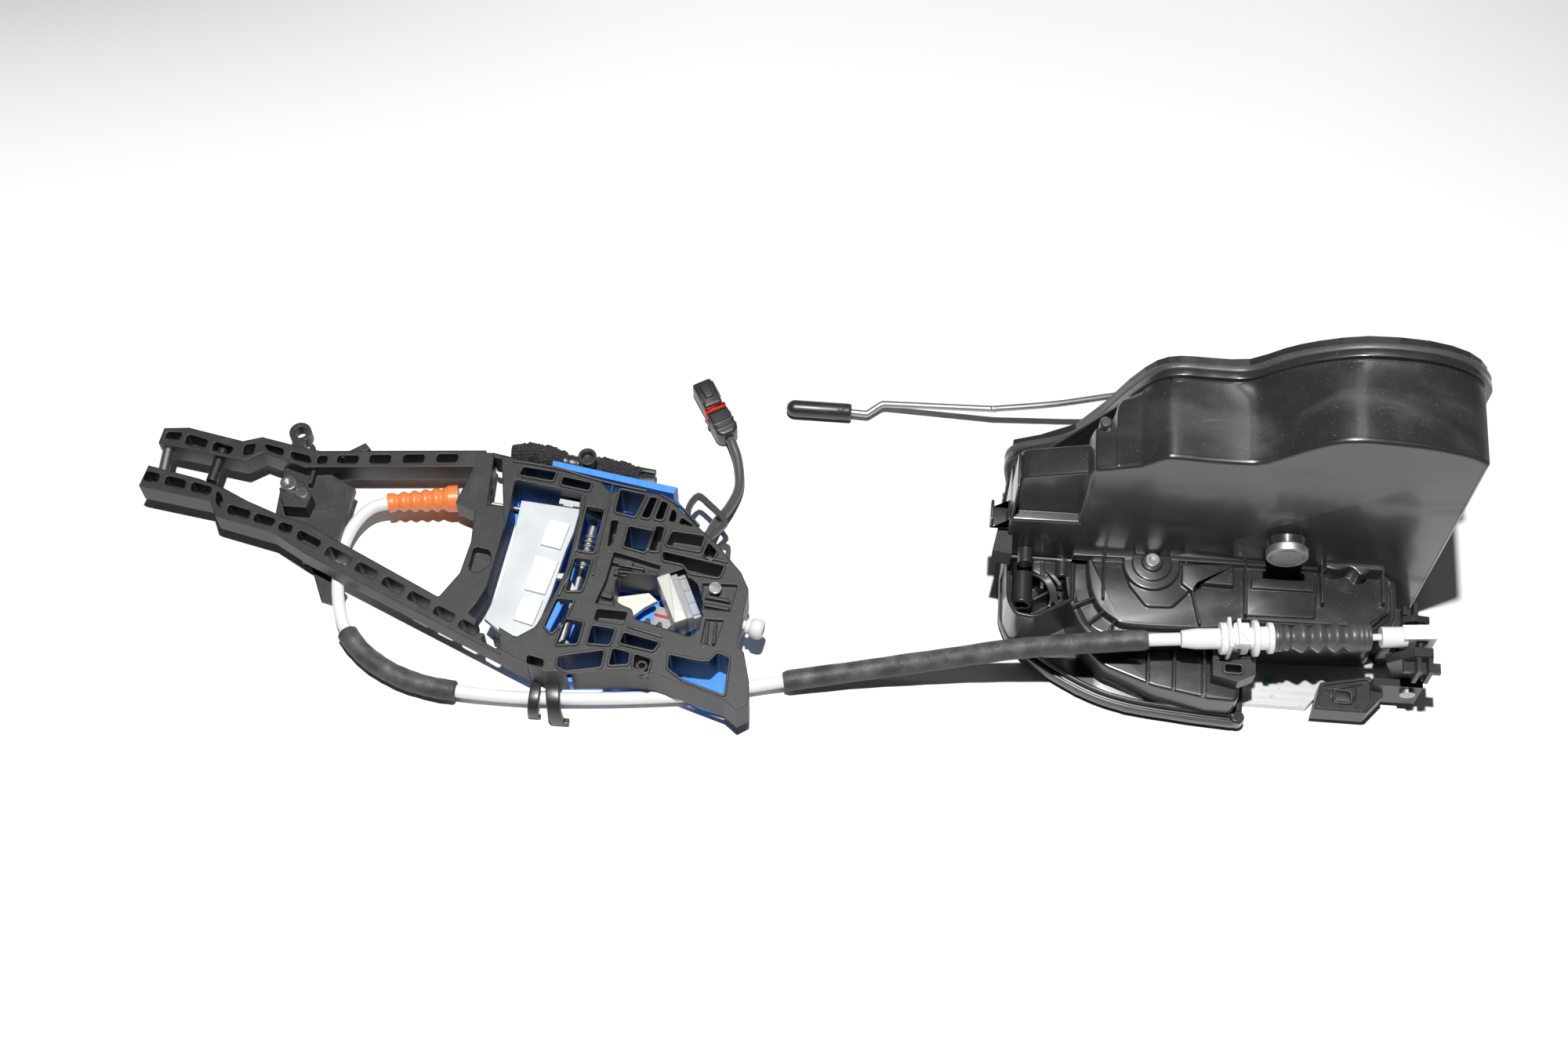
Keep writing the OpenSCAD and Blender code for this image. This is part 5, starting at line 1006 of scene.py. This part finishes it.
class DOORLOCK_OT_harness(bpy.types.Operator):
    """Taped harness roll behind the blue flange"""

    bl_idname = "doorlock.harness"
    bl_label = "Harness roll"

    def execute(self, context):
        left = spline([[-313.2, 64.2, 9], [-304, 64.0, 9.6], [-296, 62.6, 9.6], [-291, 61.4, 9.4]], 10)
        right = spline([[-282.5, 60.6, 9.2], [-275, 60.0, 9.2], [-266, 58.6, 9], [-260, 57.2, 8.6]], 10)
        t = np.linspace(0, 1, 60)
        taper = np.abs(2 * t - 1) ** 6
        rolls = [lumpy(resample(left, 60), 4.5 - 0.9 * taper - 0.9 * (1 - t) ** 3, 40, 0.07),
                 lumpy(resample(right, 60), 4.1 - 0.6 * taper, 40, 0.07)]
        piece("taped_roll", rolls, LOOKS["tape"], "lock", "harness_tape", "harness_roll", sharp=80)
        core = spline([[-294, 62.0, 9.2], [-288, 60.9, 9.2], [-280, 60.2, 9]], 8)
        strips = [slab(outline, 6.4, top, 0.4, 0.4, foot=0.4) for outline, top in (
            ([[-262, 55.4], [-253.2, 54.4], [-252.8, 57.2], [-262, 58.6]], 9.6),
            ([[-262, 59.4], [-253.8, 58.4], [-253.4, 60.4], [-262, 61.4]], 10.2))]
        piece("harness_core", [tube(core, 3.5 + 0.15 * np.sin(np.arange(len(core)) * 1.9), 24)] + strips,
              LOOKS["small_black"], "lock", "rubber_black")
        return {"FINISHED"}


class DOORLOCK_OT_relief(bpy.types.Operator):
    """Thin walls round the cells of the bracket's body and the relief of the back shell"""

    bl_idname = "doorlock.relief"
    bl_label = "Ribs and relief"

    def execute(self, context):
        runs = ([[-309.6, 50.6], [-292, 48.9], [-279.5, 45.8], [-268, 43.4], [-254.5, 41.3]],
                [[-268.8, 43.4], [-269.6, 33], [-271.6, 12.6], [-272.2, 3]],
                [[-279.2, 37.5], [-279.8, 26], [-280.4, 13.5], [-281.6, 3.2], [-284.6, -6.6]],
                [[-249.2, 40.2], [-240.6, 35.4], [-232.6, 27.6]], [[-262.5, 8], [-252, 6.6]],
                [[-229.4, 14.2], [-219.6, 12.4]], [[-256, -18.2], [-242, -21.6]])
        walls = [rim(cell, CELL_FOOT, CELL_TOP) for cell in CELLS]
        walls += [slab(strip(spline(run, 3), 0.9), CELL_FOOT, CELL_TOP, 0.25, 0.3, foot=0.1)
                  for run in runs]
        # Rims and slots of the two blocks that carry the cable's end (low) and the release lever (tall)
        low, tall, thin = 11.7, 29.7, 0.8
        yoke = [[12.6, -24.4], [30.6, -24.4], [33.4, -21], [33.4, -13], [32, -11.6], [14.8, -15.4]]
        blocks = [rim(yoke, low, 13.0, thin),
                  rim([[19.6, -21.8], [25.4, -21.8], [25.4, -17.2], [19.6, -17.2]], low, 12.9),
                  rim([[-26, -20.5], [-19.5, -20.5], [-19.5, -17.5], [-26, -17.5]], tall, 30.9),
                  rib([16, -17.2], [31, -13.4], thin, low, 12.8),
                  rib([27.6, -23.6], [27.6, -15.2], thin, low, 12.8),
                  rib([-29.6, -15.4], [-15.2, -13.6], thin, tall, 30.8)]
        piece("block_rims", blocks, LOOKS["ribs"], "lock", "black_plastic", sharp=34)
        piece("body_ribs", walls, LOOKS["ribs"], "lock", "bracket_black", sharp=34)
        self.shell()
        return {"FINISHED"}

    def shell(self):
        """Frames, bosses and ribs on the outside of the back shell."""
        border = [[-106, 8], [49, 8], [49, 112], [44, 126], [28, 132.6], [8, 133], [-8, 127.6],
                  [-19, 120.4], [-31, 112], [-44, 111], [-54, 111], [-60, 107.6], [-68.4, 94], [-84.4, 57],
                  [-106, 42]]
        relief = []
        for outline, height in ((border, 1.2), ([[-58, 52], [-26, 52], [-26, 100], [-58, 100]], 0.9),
                                ([[-88, 14], [-66, 14], [-66, 40], [-82, 40], [-88, 36]], 0.9)):
            foot, top = SHELL_BACK - 0.5, SHELL_BACK + height
            relief.append(bead(rounded(counter_clockwise(outline), 3, 4),
                               ((1.2, foot), (0, foot), (0, top - 0.2), (0.2, top), (1.0, top),
                                (1.2, top - 0.2)), "xz"))
        boss = [[-0.5, 0], [-0.5, 3.8], [1.2, 3.8], [1.5, 3.5], [1.5, 1.9], [0.3, 1.7], [0.3, 0]]
        for x, z in ((-100, 14), (-70, 84), (-46, 106), (20, 128), (43, 60), (43, 14)):
            relief.append(revolve(boss, (x, SHELL_BACK, z), (0, 1, 0), 24))
        for x in (-52, -46, -40, -34):
            relief.append(slab([[x, 54], [x + 0.9, 54], [x + 0.9, 98], [x, 98]], SHELL_BACK + 0.8,
                               SHELL_BACK - 0.4, 0.2, 0.2, "xz"))
        piece("shell_relief", relief, LOOKS["cover"], "lock", "black_plastic", sharp=34)


class DOORLOCK_OT_fittings(bpy.types.Operator):
    """Conduit hooks, fixing screw, light block, tray step, flange dimples, tub clip and paint"""

    bl_idname = "doorlock.fittings"
    bl_label = "Small fittings"

    def execute(self, context):
        hooks = [strap([[-290.6, -36.6, 9.0], [-290.6, -40.5, 9.5], [-290.8, -44.4, 8.6],
                        [-291, -47.2, 5.6], [-291, -47.5, 0.6]], 4.2, 2.0),
                 strap([[-283.6, -38.4, 12.6], [-283.2, -41.6, 13.1], [-282.6, -45.6, 11.8],
                        [-282, -48.4, 8], [-281.4, -49.3, 4], [-281, -49.4, 0.6]], 5.4, 2.4),
                 block((-281.6, -50.6, 0.1), (-276.8, -47.8, 2.4), 0.5),
                 block((-292.4, -48.4, 0.1), (-288.2, -46.6, 1.8), 0.4)]
        piece("conduit_hooks", hooks, LOOKS["small_black"], "lock", "black_plastic", "cable_hooks")
        head = [[0.6, 0], [0.6, 2], [5.4, 2], [5.6, 3.0], [7.4, 3.0], [7.6, 3.6], [8.2, 4.0], [9.4, 4.15],
                [11.0, 4.1], [12.0, 3.7], [12.6, 2.9], [12.7, 2.0], [12.5, 1.8], [10.4, 1.7], [10.4, 0]]
        lean = math.radians(-12)
        piece("knob_screw", [revolve(head, (-216, -8.5, 17), (math.cos(lean), math.sin(lean), 0), 32)],
              LOOKS["knob"], "fixing_screw", "cable_white", "fixing_screw")
        light_turn, place = -65, (-237.2, -3.4, 14.6)
        piece("light_frosted", [turned(block((-10.5, -5.6, 0), (10.5, -0.2, 13), 0.5), light_turn, place)],
              LOOKS["frosted"], "lock", "clear_block", "light_block")
        clear = [block((-9.4, -0.2, 0), (10.5, 2.4, 12.4), 0.4),
                 block((-9.0, 2.4, 0), (10.5, 5.6, 10.4), 0.5)]
        clear += [block((x, 2.6, 10.2), (x + 0.8, 5.4, 11.2), 0.2) for x in (-8, -2.5, 3, 8.6)]
        piece("light_clear", [turned(c, light_turn, place) for c in clear], LOOKS["clear"], "lock",
              "clear_block")
        piece("light_line", [rib([-247.0, -6.6], [-239.6, -8.0], 0.9, 14.4, 15.6, 0.2)], LOOKS["red"],
              "lock", "seal_red")
        step = [slab([[-238, -30], [-228, -29.4], [-222.6, -28.6], [-219.6, -25.6], [-215.4, -27.6],
                      [-215.6, -42.6], [-226, -40.2], [-232, -37.6], [-238, -33.6]], 2.0, 9.0, 0.8, 0.8,
                     foot=0.4)]
        piece("tray_step", step, LOOKS["blue"], "lock", "guard_blue")
        dots = [revolve([[19.6, 0], [19.6, 0.75], [20.0, 0.75], [20.25, 0.45], [20.25, 0]],
                        (x, 54.7 - (x + 294.5) * 0.172, 0), (0, 0, 1), 16)
                for x in (-289, -279, -269, -259, -249)]
        clip = [strap([[-99, 16.5, 27], [-97.2, 14.2, 30.6], [-94.8, 12.4, 31.4], [-92.6, 9.2, 29.6],
                       [-91.4, 6.4, 25]], 3.0, 0.7),
                strap([[-95.4, 17.6, 29.6], [-93.0, 15.0, 31.2], [-89.6, 11.4, 29.8]], 1.6, 0.6)]
        piece("tub_clip", clip, LOOKS["bellows"], "lock", "black_plastic")
        piece("flange_dots", dots, LOOKS["blue"], "lock", "guard_blue")
        spot = slab([[-6.4, -9.2], [-3.4, -8.0], [-2.0, -8.6], [-2.6, -11.2], [-5.8, -11.8]], 2.9, 3.06,
                    0.05, 0.5)
        piece("paint_spot", [spot], LOOKS["paint"], "lock", "seal_red")
        return {"FINISHED"}


class DOORLOCK_OT_finishes(bpy.types.Operator):
    """Gives each CAD node that stays in sight its material"""

    bl_idname = "doorlock.finishes"
    bl_label = "Finishes"

    def execute(self, context):
        for look, nodes in NODE_LOOKS.items():
            for name in nodes:
                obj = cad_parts[name]
                obj.data.materials.clear()
                obj.data.materials.append(LOOKS[look])
                obj.data.polygons.foreach_set("use_smooth", np.zeros(len(obj.data.polygons), bool))
        return {"FINISHED"}


class DOORLOCK_PT_panel(bpy.types.Panel):
    """Lists the lock's sizes, colours and operators"""

    bl_idname = "DOORLOCK_PT_panel"
    bl_label = "Door Lock"
    bl_space_type = "VIEW_3D"
    bl_region_type = "UI"
    bl_category = "Door Lock"

    def draw(self, context):
        for name in LockSettings.__annotations__:
            self.layout.prop(context.scene.door_lock, name)
        for maker in MAKERS:
            self.layout.operator(maker.bl_idname)


MAKERS = (
    DOORLOCK_OT_stage,
    DOORLOCK_OT_pigtail,
    DOORLOCK_OT_cable,
    DOORLOCK_OT_cover,
    DOORLOCK_OT_rim,
    DOORLOCK_OT_foot,
    DOORLOCK_OT_rod,
    DOORLOCK_OT_harness,
    DOORLOCK_OT_relief,
    DOORLOCK_OT_fittings,
    DOORLOCK_OT_finishes,
)
CLASSES = (LockSettings, *MAKERS, DOORLOCK_PT_panel)


def register():
    for cls in CLASSES:
        bpy.utils.register_class(cls)
    bpy.types.Scene.door_lock = bpy.props.PointerProperty(type=LockSettings)


def unregister():
    del bpy.types.Scene.door_lock
    for cls in reversed(CLASSES):
        bpy.utils.unregister_class(cls)


def main():
    """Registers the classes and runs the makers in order."""
    register()
    LOOKS.update(make_looks())
    for maker in MAKERS:
        group, name = maker.bl_idname.split(".")
        result = getattr(getattr(bpy.ops, group), name)()
        if result != {"FINISHED"}:
            raise RuntimeError(f"{maker.bl_label} did not finish")


if __name__ == "__main__":
    main()
